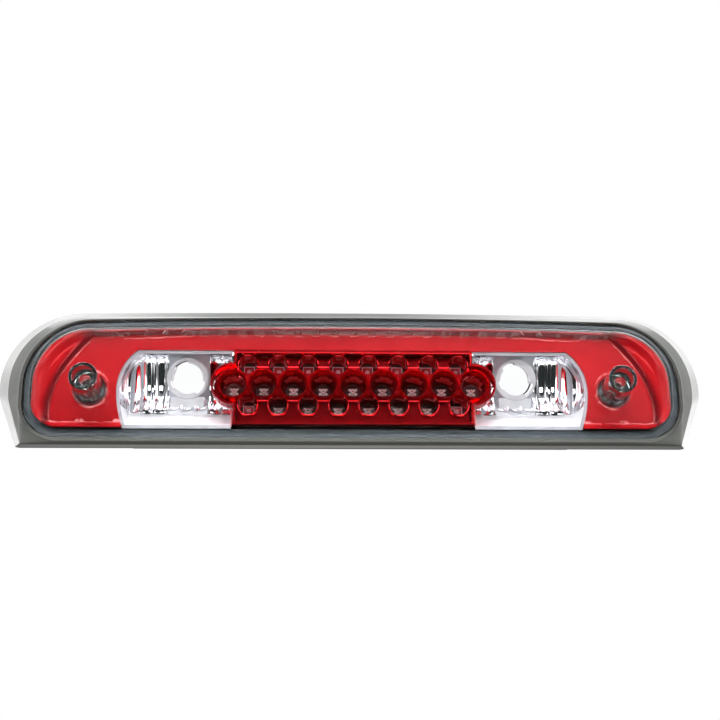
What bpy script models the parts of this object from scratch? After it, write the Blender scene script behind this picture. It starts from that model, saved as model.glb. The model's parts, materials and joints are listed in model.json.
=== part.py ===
"""Third brake light with two cargo lights, modelled as its separate pieces.

X runs along the lamp, +Z is up and the lamp faces -Y. The origin is the middle of the plane
that the rear gasket presses on the vehicle. Lengths below are in millimetres; MM turns them
into metres when a mesh is made.
"""
import math

import bmesh
import bpy
from mathutils import Vector
from mathutils.geometry import delaunay_2d_cdt

MM = 0.001
GAP = 0.3                      # clearance between pieces that touch on the real lamp

# Outlines seen from the front: corners (x, z) of the right half from bottom to top, the radius
# that rounds each corner, and how far the top edge bows up in the middle.
LENS = {"corners": ((209.2, -35.2), (209.6, -6.0), (209.6, 40.0)),
        "radii": (22.5, 30.0, 40.0), "crown": 3.9}
LIP = {"corners": ((212.4, -38.4), (212.8, -6.0), (212.8, 42.0)),
       "radii": (25.7, 30.0, 42.4), "crown": 3.5}
SKIRT_FRONT = {"corners": ((210.0, -39.8), (220.0, -9.7), (220.0, 46.0)),
               "radii": (1.5, 30.0, 47.0), "crown": 0.7}
SKIRT_BACK = {"corners": ((216.5, -37.6), (229.8, -3.0), (229.8, 53.5)),
              "radii": (1.8, 22.0, 51.0), "crown": 2.2}

# Depths along Y, from the vehicle forwards.
GASKET_THICK = 4.0
SKIRT_BACK_Y = -GASKET_THICK - GAP
SKIRT_FRONT_Y = -22.0
LIP_Y = -24.8
CHANNEL_Y = -19.5
FRAME_BACK_Y = -17.2
PAN_FRONT_Y = -14.5
PAN_BACK_Y = -12.0
FIELD_Y = -23.0                # front of the red bezel's flat field
LENS_FRONT_Y = -51.0           # highest point of the clear lens

LIP_GAP = 0.6                  # lens foot to lip
RIM_WIDE = 5.2                 # width of the lens foot
BEZEL_INSET = 5.9              # lens outline to bezel edge
FRAME_INSET = 6.5              # lens outline to the inside of the housing's frame
RIM_FLAT = 6.0                 # flat back rim of the skirt that carries the gasket

# Cargo lights: the bulb axis tips down towards the front.
BULB_TILT = math.radians(17.0)
BULB_AXIS = Vector((0.0, math.cos(BULB_TILT), math.sin(BULB_TILT)))
BULB_X = 109.0
BULB_SEAT = Vector((BULB_X, 8.0, 13.3))   # middle of the reflector's bulb hole
BULB_HOLE_R = 10.0
COLLAR_R = 13.8
COLLAR_LONG = 7.0
PEDESTAL_HALF, PEDESTAL_TOP, PEDESTAL_LOW = 10.6, 12.0, 20.6   # box under the collar, below the axis
PEDESTAL_LONG = 6.2
REFLECTOR_THICK = 1.8

# Tub behind the mounting plane; its back wall is square to the bulb axis.
TUB_X, TUB_LOW, TUB_HIGH = 156.0, -30.0, 34.5
WALL = 2.5
TUB_BACK_OFFSET = 6.2          # bulb seat to the outside of the tub's back wall, along the axis

# Screw tubes.
SCREW_X, SCREW_Z = 168.2, -3.5
TUBE_R, COUNTERBORE_R, SCREW_HOLE_R = 8.95, 6.85, 3.5
TUBE_FRONT_Y, COUNTERBORE_Y, TUBE_BACK_Y = -49.6, -42.0, -19.9
BOSS_R, BOSS_FRONT_Y, BOSS_BACK_Y = 9.5, -17.8, -0.5

# Outer lens: (inset, y) down the wall from the foot, then the inset where the front begins.
LENS_FOOT_Y = -22.2
LENS_THICK = 2.4
LENS_WALL = ((2.2, -26.0), (3.8, -31.5), (6.2, -36.5), (9.5, -41.0), (14.0, -45.0))
LENS_TURN = 20.0
LENS_CROWN_X, LENS_CROWN_Z = 2.0, 5.0     # fall of the front at the tubes and at the long edges
LENS_FILL = 13.0               # size of the triangles over the front

# Red bezel: raised edge, and the sloped crescents at the ends.
BEZEL_THICK = 1.6
BEZEL_EDGE_RISE, BEZEL_EDGE_WIDE = 3.0, 5.0
CRESCENT_RISE = 4.5
CRESCENT_X, CRESCENT_LOW, CRESCENT_LEAN, CRESCENT_BOW = 193.0, -15.0, 0.16, 0.0075
TUBE_CLEAR = 0.55
BEZEL_FILL = 7.0

# Cargo reflectors: bowls behind the windows, each with two screw lugs at its outer end.
REFLECTOR_FRONT_Y = -20.6
REFLECTOR_RIM = 1.9
REFLECTOR_INNER_X = 78.4
LUG_SPOTS = ((161.0, 15.5), (161.0, -21.5))
LUG_Y, LUG_THICK, LUG_HALF = -17.2, 1.6, 3.4
PILOT_R = 1.5
POST_R = 3.2

# Windows of the cargo lights and the stop-lamp block. A window's outer end is two arcs that
# meet at its widest height.
WINDOW_X, WINDOW_TOP, WINDOW_LOW = 151.5, 23.0, -28.6
WINDOW_WIDEST_Z, WINDOW_HIGH_R, WINDOW_LOW_R = -3.0, 33.0, 68.0
BLOCK_X, BLOCK_TOP, BLOCK_LOW = 76.8, 22.7, -26.9
BLOCK_FRONT_Y = -25.6
SHROUD_BACK_Y = -15.0
SHROUD_WALL = 1.5
TOP_WALL_RATIO = 1.45          # the shroud is thicker along its top
EAR_R = 14.0

# Stop-lamp cups: (name, count, z, front radius, front y, tilt of the front plane in degrees).
PITCH = 19.4
CUP_ROWS = (("mid", 9, 0.0, 9.25, -26.0, 0.0),
            ("top", 8, 13.6, 6.2, -22.5, 0.0),
            ("low", 8, -13.2, 6.2, -22.0, 18.0))
CUP_BACK_R, CUP_BACK_Y, CUP_WALL = 5.7, -7.0, 0.6
WEB_FRONT_Y, WEB_THICK = -17.0, 1.6
BAND_FRONT_Y, BAND_LOW, BAND_HIGH = -22.4, -11.0, 12.6   # raised web round the middle row
BAND_THICK = 1.2
LED_SIDE, LED_BASE_Y, LED_BACK_Y, LED_DOME_R = 7.5, -6.2, -3.0, 2.6
CAP_WELL_R, CAP_PIP_R = 3.1, 1.5

# Circuit board and what is on it, the cable grommet and the vent plugs.
BOARD_FRONT_Y, BOARD_BACK_Y = -2.7, -1.1
BOARD_X, BOARD_LOW, BOARD_HIGH = 75.4, -23.5, 19.5
BOARD_TAB_X, BOARD_TAB_Z = 85.0, 8.5
BOARD_SPOTS = tuple((sx * PITCH * 3, sz * 14.0) for sz in (1, -1) for sx in (-1, 1))
PARTS_ROW_Z = 9.0
RESISTOR_X, RESISTOR_PITCH, RESISTOR_COUNT = -50.0, 11.0, 5
DIODE_X = 12.0
HEADER_LOW, HEADER_HIGH, HEADER_DEEP, HEADER_WALL = (28.0, 4.0), (40.0, 12.0), 7.0, 1.2
GLAND_X, GLAND_Z, GLAND_NECK_R, GLAND_BORE_R = 40.0, -12.0, 6.0, 4.6
VENT_X, VENT_Z, VENT_R, VENT_FLANGE_R = 188.0, 12.0, 3.0, 5.4

ROUND_CUT = 12                 # sides of a small hole
TUBE_SIDES = 28
THROUGH = 30.0                 # a cutter's reach past the part

COLOURS = {
    "housing_grey": ((0.17, 0.175, 0.16), 0.45, 0.0),
    "foam_black": ((0.02, 0.02, 0.02), 0.95, 0.0),
    "lens_clear": ((0.85, 0.87, 0.88), 0.03, 0.0),
    "sealant_dark": ((0.04, 0.06, 0.07), 0.5, 0.0),
    "bezel_red": ((0.5, 0.02, 0.025), 0.12, 0.35),
    "chrome": ((0.8, 0.8, 0.82), 0.06, 1.0),
    "chrome_red": ((0.55, 0.02, 0.03), 0.1, 0.9),
    "board_red": ((0.1, 0.02, 0.02), 0.5, 0.0),
    "led_clear": ((0.9, 0.88, 0.86), 0.05, 0.0),
    "cap_red": ((0.45, 0.03, 0.05), 0.3, 0.0),
    "rubber_black": ((0.02, 0.02, 0.022), 0.8, 0.0),
    "resistor_tan": ((0.6, 0.45, 0.28), 0.5, 0.0),
    "header_white": ((0.8, 0.8, 0.76), 0.4, 0.0),
    "screw_steel": ((0.55, 0.55, 0.53), 0.3, 1.0),
}


# ---------------------------------------------------------------- shared helpers

def material(name):
    """The named Principled material, made once."""
    found = bpy.data.materials.get(name)
    if found:
        return found
    colour, roughness, metallic = COLOURS[name]
    made = bpy.data.materials.new(name)
    made.use_nodes = True
    shader = made.node_tree.nodes["Principled BSDF"]
    shader.inputs["Base Color"].default_value = (*colour, 1.0)
    shader.inputs["Roughness"].default_value = roughness
    shader.inputs["Metallic"].default_value = metallic
    return made


def make_object(name, mesh, finish):
    """An object in the scene that carries one material and smooth round faces."""
    mesh.materials.clear()
    mesh.materials.append(material(finish))
    obj = bpy.data.objects.new(name, mesh)
    bpy.context.scene.collection.objects.link(obj)
    shade(obj)
    return obj


def shade(obj):
    """Smooth round faces and keep real edges sharp."""
    obj.data.shade_smooth()
    obj.data.set_sharp_from_angle(angle=math.radians(32))


def mesh_from(bm, name):
    """Scale a mesh drawn in millimetres to metres, point its faces outwards and store it."""
    bmesh.ops.remove_doubles(bm, verts=bm.verts, dist=0.001)
    point_outwards(bm)
    bmesh.ops.scale(bm, vec=(MM, MM, MM), verts=bm.verts)
    mesh = bpy.data.meshes.new(name)
    bm.to_mesh(mesh)
    bm.free()
    return mesh


def point_outwards(bm):
    """Make a closed mesh's faces agree and point outwards."""
    bmesh.ops.recalc_face_normals(bm, faces=bm.faces)
    if bm.calc_volume(signed=True) < 0:
        bmesh.ops.reverse_faces(bm, faces=bm.faces)


def bake(obj):
    """Replace an object's mesh by the result of its modifiers."""
    finish = obj.data.materials[0]
    graph = bpy.context.evaluated_depsgraph_get()
    mesh = bpy.data.meshes.new_from_object(obj.evaluated_get(graph))
    obj.modifiers.clear()
    obj.data = mesh
    mesh.materials.clear()
    mesh.materials.append(finish)
    shade(obj)


def combine(obj, tools, operation, overlapping=False):
    """Join tools to an object or cut them from it, then drop the tools."""
    for tool in tools:
        modifier = obj.modifiers.new(operation.lower(), "BOOLEAN")
        modifier.operation = operation
        modifier.solver = "EXACT"
        modifier.use_self = overlapping
        modifier.object = tool
    bake(obj)
    for tool in tools:
        bpy.data.objects.remove(tool)


def loft(name, rings, finish, loop=False):
    """A closed body through rings of points; a loop joins the last ring to the first."""
    bm = bmesh.new()
    rows = [[bm.verts.new(point) for point in ring] for ring in rings]
    pairs = list(zip(rows, rows[1:]))
    if loop:
        pairs.append((rows[-1], rows[0]))
    for first, second in pairs:
        count = len(first)
        for i in range(count):
            j = (i + 1) % count
            bm.faces.new((first[i], first[j], second[j], second[i]))
    if not loop:
        bm.faces.new(rows[0])
        bm.faces.new(rows[-1])
    return make_object(name, mesh_from(bm, name), finish)


def turned(name, profile, finish, centre=(0, 0, 0), axis=(0, 1, 0), steps=20):
    """A body turned round an axis from (radius, distance along the axis) points."""
    turn = Vector((0, 0, 1)).rotation_difference(Vector(axis)).to_matrix()
    rings = []
    for radius, along in profile:
        ring = []
        for i in range(steps):
            angle = math.tau * i / steps
            spot = Vector((radius * math.cos(angle), radius * math.sin(angle), along))
            ring.append(turn @ spot + Vector(centre))
        rings.append(ring)
    return loft(name, rings, finish)


def turned_ring(name, profile, finish, centre=(0, 0, 0), axis=(0, 1, 0), steps=24):
    """A ring turned round an axis from a closed profile of (radius, distance along) points."""
    obj = turned(name, profile, finish, centre, axis, steps)
    bm = bmesh.new()
    bm.from_mesh(obj.data)
    ends = [face for face in bm.faces if len(face.verts) == steps]
    bmesh.ops.delete(bm, geom=ends, context="FACES_ONLY")
    border = [edge for edge in bm.edges if edge.is_boundary]
    bmesh.ops.bridge_loops(bm, edges=border)
    point_outwards(bm)
    bm.to_mesh(obj.data)
    bm.free()
    shade(obj)
    return obj


def block(name, low, high, finish):
    """A straight block between two corners."""
    (x0, y0, z0), (x1, y1, z1) = low, high
    back = [(x0, y0, z0), (x1, y0, z0), (x1, y0, z1), (x0, y0, z1)]
    front = [(x, y1, z) for x, _, z in back]
    return loft(name, [back, front], finish)


def plate(name, outline, y_front, y_back, finish):
    """A flat plate with an outline in X and Z."""
    return loft(name, [[(x, y, z) for x, z in outline] for y in (y_front, y_back)], finish)


# ---------------------------------------------------------------- outlines

def rounded_corner(before, corner, after, radius, steps):
    """Points of the arc that rounds a corner."""
    corner = Vector(corner)
    to_before = (Vector(before) - corner).normalized()
    to_after = (Vector(after) - corner).normalized()
    half = to_before.angle(to_after) / 2
    centre = corner + (to_before + to_after).normalized() * radius / math.sin(half)
    start = corner + to_before * radius / math.tan(half) - centre
    end = corner + to_after * radius / math.tan(half) - centre
    first = math.atan2(start.y, start.x)
    sweep = math.remainder(math.atan2(end.y, end.x) - first, math.tau)
    angles = [first + sweep * i / steps for i in range(steps + 1)]
    return [(centre.x + radius * math.cos(a), centre.y + radius * math.sin(a)) for a in angles]


def shifted_corners(corners, inset):
    """A counter-clockwise polygon with every edge moved inwards."""
    moved = []
    count = len(corners)
    for i in range(count):
        here = Vector(corners[i])
        along_in = (here - Vector(corners[i - 1])).normalized()
        along_out = (Vector(corners[(i + 1) % count]) - here).normalized()
        normal_in = Vector((-along_in.y, along_in.x))
        normal_out = Vector((-along_out.y, along_out.x))
        bisector = (normal_in + normal_out).normalized()
        moved.append(tuple(here + bisector * inset / bisector.dot(normal_in)))
    return moved


def outline(shape, inset=0.0, edge_steps=8):
    """Points of a symmetric outline moved inwards, counter-clockwise from the bottom edge."""
    right = list(shape["corners"])
    radii = list(shape["radii"])
    corners = right + [(-x, z) for x, z in reversed(right)]
    radii = radii + radii[::-1]
    steps = (5, 1, 8, 8, 1, 5)
    corners = shifted_corners(corners, inset)
    points = []
    arcs = []
    count = len(corners)
    for i in range(count):
        radius = max(radii[i] - inset, 0.4)
        after = corners[(i + 1) % count]
        arcs.append(rounded_corner(corners[i - 1], corners[i], after, radius, steps[i]))
    for i, arc in enumerate(arcs):
        if i in (0, 3):
            start = Vector(arcs[i - 1][-1])
            end = Vector(arc[0])
            points += [tuple(start.lerp(end, k / edge_steps)) for k in range(1, edge_steps)]
        points += arc
    wide = max(x for x, _ in points)
    high = max(z for _, z in points)
    return [(x, z + shape["crown"] * max(z, 0.0) / high * (1 - (x / wide) ** 2)) for x, z in points]


def ring_at(shape, inset, y):
    """An outline as a ring of points at one depth."""
    return [(x, y, z) for x, z in outline(shape, inset)]


def window_side():
    """The curved outer edge of the right cargo window, from the bottom up to its top corner."""
    low_r, high_r, turn_z = WINDOW_LOW_R, WINDOW_HIGH_R, WINDOW_WIDEST_Z
    points = []
    for i in range(7):
        z = WINDOW_LOW - 0.7 + (turn_z - WINDOW_LOW + 0.7) * i / 6
        points.append((WINDOW_X - low_r + math.sqrt(low_r ** 2 - (z - turn_z) ** 2), z))
    for i in range(1, 8):
        z = turn_z + (WINDOW_TOP - turn_z) * i / 7
        points.append((WINDOW_X - high_r + math.sqrt(high_r ** 2 - (z - turn_z) ** 2), z))
    return points


def block_outline(inset):
    """The stop-lamp block: a rectangle with a round ear around each end cup."""
    ear = EAR_R - inset
    x = BLOCK_X - inset
    reach = PITCH * 4
    spread = math.acos(max(-1.0, (x - reach) / ear))
    steps = 10
    right = [(reach + ear * math.cos(a), ear * math.sin(a))
             for a in (-spread + 2 * spread * i / steps for i in range(steps + 1))]
    half = [(x, BLOCK_LOW + inset)] + right + [(x, BLOCK_TOP - inset * TOP_WALL_RATIO)]
    return half + [(-px, pz) for px, pz in reversed(half)]


def cup_centres(row):
    """X of every cup in a row."""
    count = row[1]
    return [PITCH * (i - (count - 1) / 2) for i in range(count)]


def circle(x, z, radius, steps):
    """Points of a circle in X and Z."""
    turns = [math.tau * i / steps for i in range(steps)]
    return [(x + radius * math.cos(turn), z + radius * math.sin(turn)) for turn in turns]


def inside(point, polygon):
    """Whether a point lies in a polygon."""
    x, z = point
    hit = False
    for (x0, z0), (x1, z1) in zip(polygon, polygon[1:] + polygon[:1]):
        if (z0 > z) != (z1 > z) and x < x0 + (z - z0) * (x1 - x0) / (z1 - z0):
            hit = not hit
    return hit


def distance_to(point, loop):
    """Distance from a point to a closed line."""
    spot = Vector(point)
    best = 1e9
    for start, end in zip(loop, loop[1:] + loop[:1]):
        a, b = Vector(start), Vector(end)
        along = b - a
        t = max(0.0, min(1.0, (spot - a).dot(along) / max(along.length_squared, 1e-9)))
        best = min(best, (spot - a - along * t).length)
    return best


def filled(edge, holes, spacing):
    """Triangles over the inside of a closed line, less its holes."""
    points = list(edge)
    lines = [(i, (i + 1) % len(edge)) for i in range(len(edge))]
    for hole in holes:
        base = len(points)
        points += hole
        lines += [(base + i, base + (i + 1) % len(hole)) for i in range(len(hole))]
    xs = [p[0] for p in edge]
    zs = [p[1] for p in edge]
    columns = int((max(xs) - min(xs)) / spacing)
    rows = int((max(zs) - min(zs)) / spacing)
    loops = [list(edge)] + [list(h) for h in holes]
    for i in range(1, columns):
        for j in range(1, rows):
            spot = (min(xs) + (max(xs) - min(xs)) * i / columns,
                    min(zs) + (max(zs) - min(zs)) * j / rows)
            if inside(spot, loops[0]) and not any(inside(spot, h) for h in loops[1:]):
                if min(distance_to(spot, loop) for loop in loops) > spacing * 0.45:
                    points.append(spot)
    found = delaunay_2d_cdt([Vector(p) for p in points], lines, [], 1, 1e-5)
    spots = [tuple(v) for v in found[0]]
    faces = []
    for face in found[2]:
        middle = (sum(spots[k][0] for k in face) / 3, sum(spots[k][1] for k in face) / 3)
        if inside(middle, loops[0]) and not any(inside(middle, h) for h in loops[1:]):
            faces.append(face)
    return spots, faces


# ---------------------------------------------------------------- housing and seals

def tub_back_y(z, beyond):
    """Depth of a plane square to the bulb axis, a distance beyond the bulb seat."""
    return BULB_SEAT.y + (beyond - (z - BULB_SEAT.z) * BULB_AXIS.z) / BULB_AXIS.y


def tub_shape(inset):
    """Outline of the tub."""
    corners = ((TUB_X, TUB_LOW), (TUB_X + 0.1, 5.0), (TUB_X, TUB_HIGH))
    return outline({"corners": corners, "radii": (9.0, 30.0, 9.0), "crown": 0.0}, inset, 4)


def tub_body(name, inset, y_front, beyond):
    """A tapered block with the tub's outline and a sloped back."""
    front = [(x, y_front, z) for x, z in tub_shape(inset)]
    back = [(x * 0.985, tub_back_y(z, beyond), z) for x, z in tub_shape(inset)]
    return loft(name, [front, back], "housing_grey")


def bulb_key(name, side, radius, front, back):
    """The twist-lock bulb hole as a cutter: a round bore with three wide notches."""
    centre = Vector((side * BULB_X, BULB_SEAT.y, BULB_SEAT.z))
    steps = 48
    notches = ((math.radians(35), 0.5, 1.9), (math.radians(160), 0.32, 1.3),
               (math.radians(245), 0.5, 1.9))
    turn = Vector((0, 0, 1)).rotation_difference(BULB_AXIS).to_matrix()
    rings = []
    for along in (front, back):
        ring = []
        for i in range(steps):
            angle = math.tau * i / steps
            grow = 0.0
            for middle, half, deep in notches:
                if abs(math.remainder(angle - middle, math.tau)) < half:
                    grow = deep
            spot = Vector(((radius + grow) * math.cos(angle), (radius + grow) * math.sin(angle), along))
            ring.append(turn @ spot + centre)
        rings.append(ring)
    return loft(name, rings, "chrome")


def housing_frame():
    """The skirt, the lip round the lens and the channel for the lens foot."""
    frame = [
        ring_at(SKIRT_BACK, 0.0, SKIRT_BACK_Y),
        ring_at(SKIRT_FRONT, 0.0, SKIRT_FRONT_Y),
        ring_at(LIP, 0.0, LIP_Y),
        ring_at(LENS, -LIP_GAP, LIP_Y),
        ring_at(LENS, -LIP_GAP, CHANNEL_Y),
        ring_at(LENS, FRAME_INSET, CHANNEL_Y),
        ring_at(LENS, FRAME_INSET, PAN_FRONT_Y + 1.0),
        ring_at(LENS, FRAME_INSET - WALL, PAN_BACK_Y - 0.8),
        ring_at(LENS, FRAME_INSET - WALL, FRAME_BACK_Y),
        ring_at(SKIRT_FRONT, WALL, FRAME_BACK_Y),
        ring_at(SKIRT_BACK, RIM_FLAT, SKIRT_BACK_Y),
    ]
    return loft("housing", frame, "housing_grey", loop=True)


def housing_bosses():
    """Bosses behind the screw tubes and posts for the reflector screws."""
    bosses = []
    for side in (-1, 1):
        profile = ((BOSS_R, BOSS_FRONT_Y), (BOSS_R, BOSS_BACK_Y))
        centre = (side * SCREW_X, 0, SCREW_Z)
        bosses.append(turned("boss", profile, "housing_grey", centre, steps=TUBE_SIDES))
        for x, z in LUG_SPOTS:
            post = ((POST_R + 0.4, LUG_Y + GAP), (POST_R + 0.4, PAN_BACK_Y - 0.4))
            bosses.append(turned("post", post, "housing_grey", (side * x, 0, z), steps=14))
    return bosses


def board_posts():
    """Posts that carry the circuit board."""
    posts = []
    for x, z in BOARD_SPOTS:
        post = ((POST_R, BOARD_BACK_Y + GAP), (POST_R, tub_back_y(z, TUB_BACK_OFFSET - 1.6)))
        posts.append(turned("post", post, "housing_grey", (x, 0, z), steps=14))
    return posts


def drill(radius, start, end, x, z, steps=ROUND_CUT):
    """A cutter for a straight hole along Y."""
    return turned("hole", ((radius, start), (radius, end)), "housing_grey", (x, 0, z), steps=steps)


def housing_holes():
    """Bulb holes, screw holes, vents, pilot holes and the grommet's hole."""
    holes = []
    for side in (-1, 1):
        holes.append(bulb_key("hole", side, BULB_HOLE_R + 0.4, -4.0, 20.0))
        holes.append(drill(SCREW_HOLE_R, -THROUGH, 10.0, side * SCREW_X, SCREW_Z, 20))
        holes.append(drill(VENT_R + GAP, -20.0, 10.0, side * VENT_X, VENT_Z, 16))
        for x, z in LUG_SPOTS:
            holes.append(drill(PILOT_R, -THROUGH, PAN_BACK_Y - 1.0, side * x, z))
    for x, z in BOARD_SPOTS:
        holes.append(drill(PILOT_R, -5.0, 7.0, x, z))
    gland = ((GLAND_NECK_R + GAP, -8.0), (GLAND_NECK_R + GAP, 12.0))
    holes.append(turned("hole", gland, "housing_grey", gland_spot(), BULB_AXIS, steps=20))
    return holes


def gland_spot():
    """Where the grommet's axis meets the outside of the tub's back wall."""
    return (GLAND_X, tub_back_y(GLAND_Z, TUB_BACK_OFFSET), GLAND_Z)


def make_housing():
    """The housing: frame, pan, tub, bosses and posts in one moulding."""
    housing = housing_frame()
    pan = plate("pan", outline(LENS, FRAME_INSET - 1.3), PAN_FRONT_Y, PAN_BACK_Y, "housing_grey")
    tub = tub_body("tub", 0.0, PAN_FRONT_Y + 0.7, TUB_BACK_OFFSET)
    combine(housing, [pan, tub] + housing_bosses(), "UNION")
    hollow = tub_body("hollow", WALL, PAN_FRONT_Y - 3.0, TUB_BACK_OFFSET - WALL)
    combine(housing, [hollow], "DIFFERENCE")
    combine(housing, board_posts(), "UNION")
    combine(housing, housing_holes(), "DIFFERENCE")


def make_rear_gasket():
    """The foam ring between the skirt and the vehicle."""
    rings = [
        ring_at(SKIRT_BACK, 0.9, 0.0),
        ring_at(SKIRT_BACK, 0.9, -GASKET_THICK),
        ring_at(SKIRT_BACK, RIM_FLAT - 0.4, -GASKET_THICK),
        ring_at(SKIRT_BACK, RIM_FLAT - 0.4, 0.0),
    ]
    return loft("rear_gasket", rings, "foam_black", loop=True)


def make_lens_sealant():
    """The bead of adhesive under the lens foot."""
    rings = [
        ring_at(LENS, 0.1, CHANNEL_Y - GAP),
        ring_at(LENS, 0.1, LENS_FOOT_Y + GAP),
        ring_at(LENS, RIM_WIDE, LENS_FOOT_Y + GAP),
        ring_at(LENS, RIM_WIDE, CHANNEL_Y - GAP),
    ]
    return loft("lens_sealant", rings, "sealant_dark", loop=True)


# ---------------------------------------------------------------- outer lens

def lens_front_y(x, z):
    """Depth of the lens's crowned front."""
    across, up = x / SCREW_X, (z - 2.0) / 38.0
    return LENS_FRONT_Y + LENS_CROWN_X * across ** 2 + LENS_CROWN_Z * up ** 2


def make_outer_lens():
    """The clear cover: a domed shell, its foot and the two screw tubes."""
    front_edge = outline(LENS, LENS_TURN)
    back_edge = outline(LENS, LENS_TURN + 1.0)
    rings = [[(x, lens_front_y(x, z) + LENS_THICK, z) for x, z in back_edge]]
    for inset, y in reversed(LENS_WALL):
        rings.append(ring_at(LENS, inset + LENS_THICK, y + LENS_THICK * 0.55))
    rings.append(ring_at(LENS, RIM_WIDE, LENS_FOOT_Y))
    rings.append(ring_at(LENS, 0.0, LENS_FOOT_Y))
    rings.append(ring_at(LENS, 0.0, LIP_Y - 0.4))
    rings.append(ring_at(LENS, 0.5, LIP_Y - 0.9))
    for inset, y in LENS_WALL:
        rings.append(ring_at(LENS, inset, y))
    rings.append([(x, lens_front_y(x, z), z) for x, z in front_edge])
    bm = bmesh.new()
    rows = [[bm.verts.new(point) for point in ring] for ring in rings]
    for first, second in zip(rows, rows[1:]):
        for i in range(len(first)):
            j = (i + 1) % len(first)
            bm.faces.new((first[i], first[j], second[j], second[i]))
    for edge, thick in ((front_edge, 0.0), (back_edge, LENS_THICK)):
        spots, faces = filled(edge, [], LENS_FILL)
        verts = [bm.verts.new((x, lens_front_y(x, z) + thick, z)) for x, z in spots]
        for face in faces:
            bm.faces.new([verts[k] for k in face])
    lens = make_object("outer_lens", mesh_from(bm, "outer_lens"), "lens_clear")
    tubes = []
    holes = []
    for side in (-1, 1):
        centre = (side * SCREW_X, 0, SCREW_Z)
        tube = ((TUBE_R, TUBE_FRONT_Y), (TUBE_R, TUBE_BACK_Y))
        tubes.append(turned("tube", tube, "lens_clear", centre, steps=TUBE_SIDES))
        bore = ((SCREW_HOLE_R, -10.0), (SCREW_HOLE_R, COUNTERBORE_Y), (COUNTERBORE_R, COUNTERBORE_Y),
                (COUNTERBORE_R, -60.0))
        holes.append(turned("bore", bore, "lens_clear", centre, steps=TUBE_SIDES))
    combine(lens, tubes, "UNION")
    combine(lens, holes, "DIFFERENCE")


# ---------------------------------------------------------------- red bezel

def crescent_x(z):
    """X of the inner edge of the sloped end at a height."""
    up = max(z - CRESCENT_LOW, 0.0)
    return CRESCENT_X - CRESCENT_BOW * up ** 2 - CRESCENT_LEAN * up


def bezel_y(x, z, edge):
    """Depth of the bezel's front: a flat field with raised edges and sloped crescents."""
    near = distance_to((x, z), edge)
    rise = BEZEL_EDGE_RISE * max(0.0, 1 - near / BEZEL_EDGE_WIDE) ** 2
    start = crescent_x(z)
    if abs(x) > start:
        reach = abs(x) - start
        slope = CRESCENT_RISE * min(1.0, reach / (reach + near + 0.01))
        rise = max(rise, slope)
    return FIELD_Y - rise


def bezel_outline():
    """The bezel's edge: the lens outline open at the bottom around the windows and the block."""
    rim = outline(LENS, BEZEL_INSET)
    side = window_side()
    low = min(z for _, z in rim)
    side = [(x, z) for x, z in side if z > low + 0.5]
    foot = side[0][0] - 0.4
    start = next(i for i, (x, z) in enumerate(rim) if x > foot)
    end = max(i for i, (x, z) in enumerate(rim) if x < -foot and z < 0)
    loop = [(foot, low)] + rim[start:end + 1]
    while loop[-1][0] > -foot:
        loop.pop()
    loop.append((-foot, low))
    inner = side
    left = [(-x, z) for x, z in inner]
    return loop + left + inner[::-1], rim


def make_red_bezel():
    """The red bezel: one thin shell with a hole for each screw tube."""
    edge, rim = bezel_outline()
    holes = []
    for side in (-1, 1):
        holes.append(circle(side * SCREW_X, SCREW_Z, TUBE_R + TUBE_CLEAR, 24))
    spots, faces = filled(edge, holes, BEZEL_FILL)
    bm = bmesh.new()
    sides = []
    for thick in (0.0, BEZEL_THICK):
        sides.append([bm.verts.new((x, bezel_y(x, z, rim) + thick, z)) for x, z in spots])
    directed = {}
    for face in faces:
        bm.faces.new([sides[0][k] for k in face])
        bm.faces.new([sides[1][k] for k in reversed(face)])
        for a, b in zip(face, list(face[1:]) + [face[0]]):
            directed[(a, b)] = True
    for a, b in directed:
        if (b, a) not in directed:
            bm.faces.new((sides[0][b], sides[0][a], sides[1][a], sides[1][b]))
    make_object("red_bezel", mesh_from(bm, "red_bezel"), "bezel_red")


# ---------------------------------------------------------------- cargo reflectors

def bowl_section(top, low, deep):
    """The reflector's section in Y and Z from its top rim round the back to its lower rim."""
    down = Vector((BULB_AXIS.z, -BULB_AXIS.y))
    seat = Vector((BULB_SEAT.y, BULB_SEAT.z))
    wall_top = seat - down * 12.8
    wall_low = seat + down * 21.0
    path = [Vector((REFLECTOR_FRONT_Y, top)), Vector((-8.0, top + 2.6)), wall_top + Vector((-4.2, 1.6)),
            wall_top + Vector((-0.8, 0.6)), wall_top + down * 3.0]
    path += [wall_top.lerp(wall_low, k) for k in (0.3, 0.5, 0.7, 0.9)]
    path += [wall_low + Vector((0.4, -1.6)), wall_low + Vector((-2.0, -4.2)),
             Vector((-6.0, low + 6.2)), Vector((REFLECTOR_FRONT_Y, low))]
    points = []
    last = len(path) - 1
    for i, spot in enumerate(path):
        straight = Vector((REFLECTOR_FRONT_Y, top + (low - top) * i / last))
        points.append(straight.lerp(spot, deep))
    return points


def window_half(x, inset):
    """Top and bottom of the cargo window at a distance along the lamp."""
    reach = max(WINDOW_X - inset - x, 0.0)
    high_r, low_r, turn_z = WINDOW_HIGH_R - inset, WINDOW_LOW_R - inset, WINDOW_WIDEST_Z
    top = turn_z + math.sqrt(max(high_r ** 2 - (high_r - min(reach, high_r)) ** 2, 0.0))
    low = turn_z - math.sqrt(max(low_r ** 2 - (low_r - min(reach, low_r)) ** 2, 0.0))
    return min(top, WINDOW_TOP - inset), max(low, WINDOW_LOW + inset)


def wall_x(z):
    """How far out the reflector's rim stands at a height."""
    big = WINDOW_HIGH_R if z > WINDOW_WIDEST_Z else WINDOW_LOW_R
    return WINDOW_X - big + math.sqrt((big - REFLECTOR_RIM) ** 2 - (z - WINDOW_WIDEST_Z) ** 2)


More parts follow.
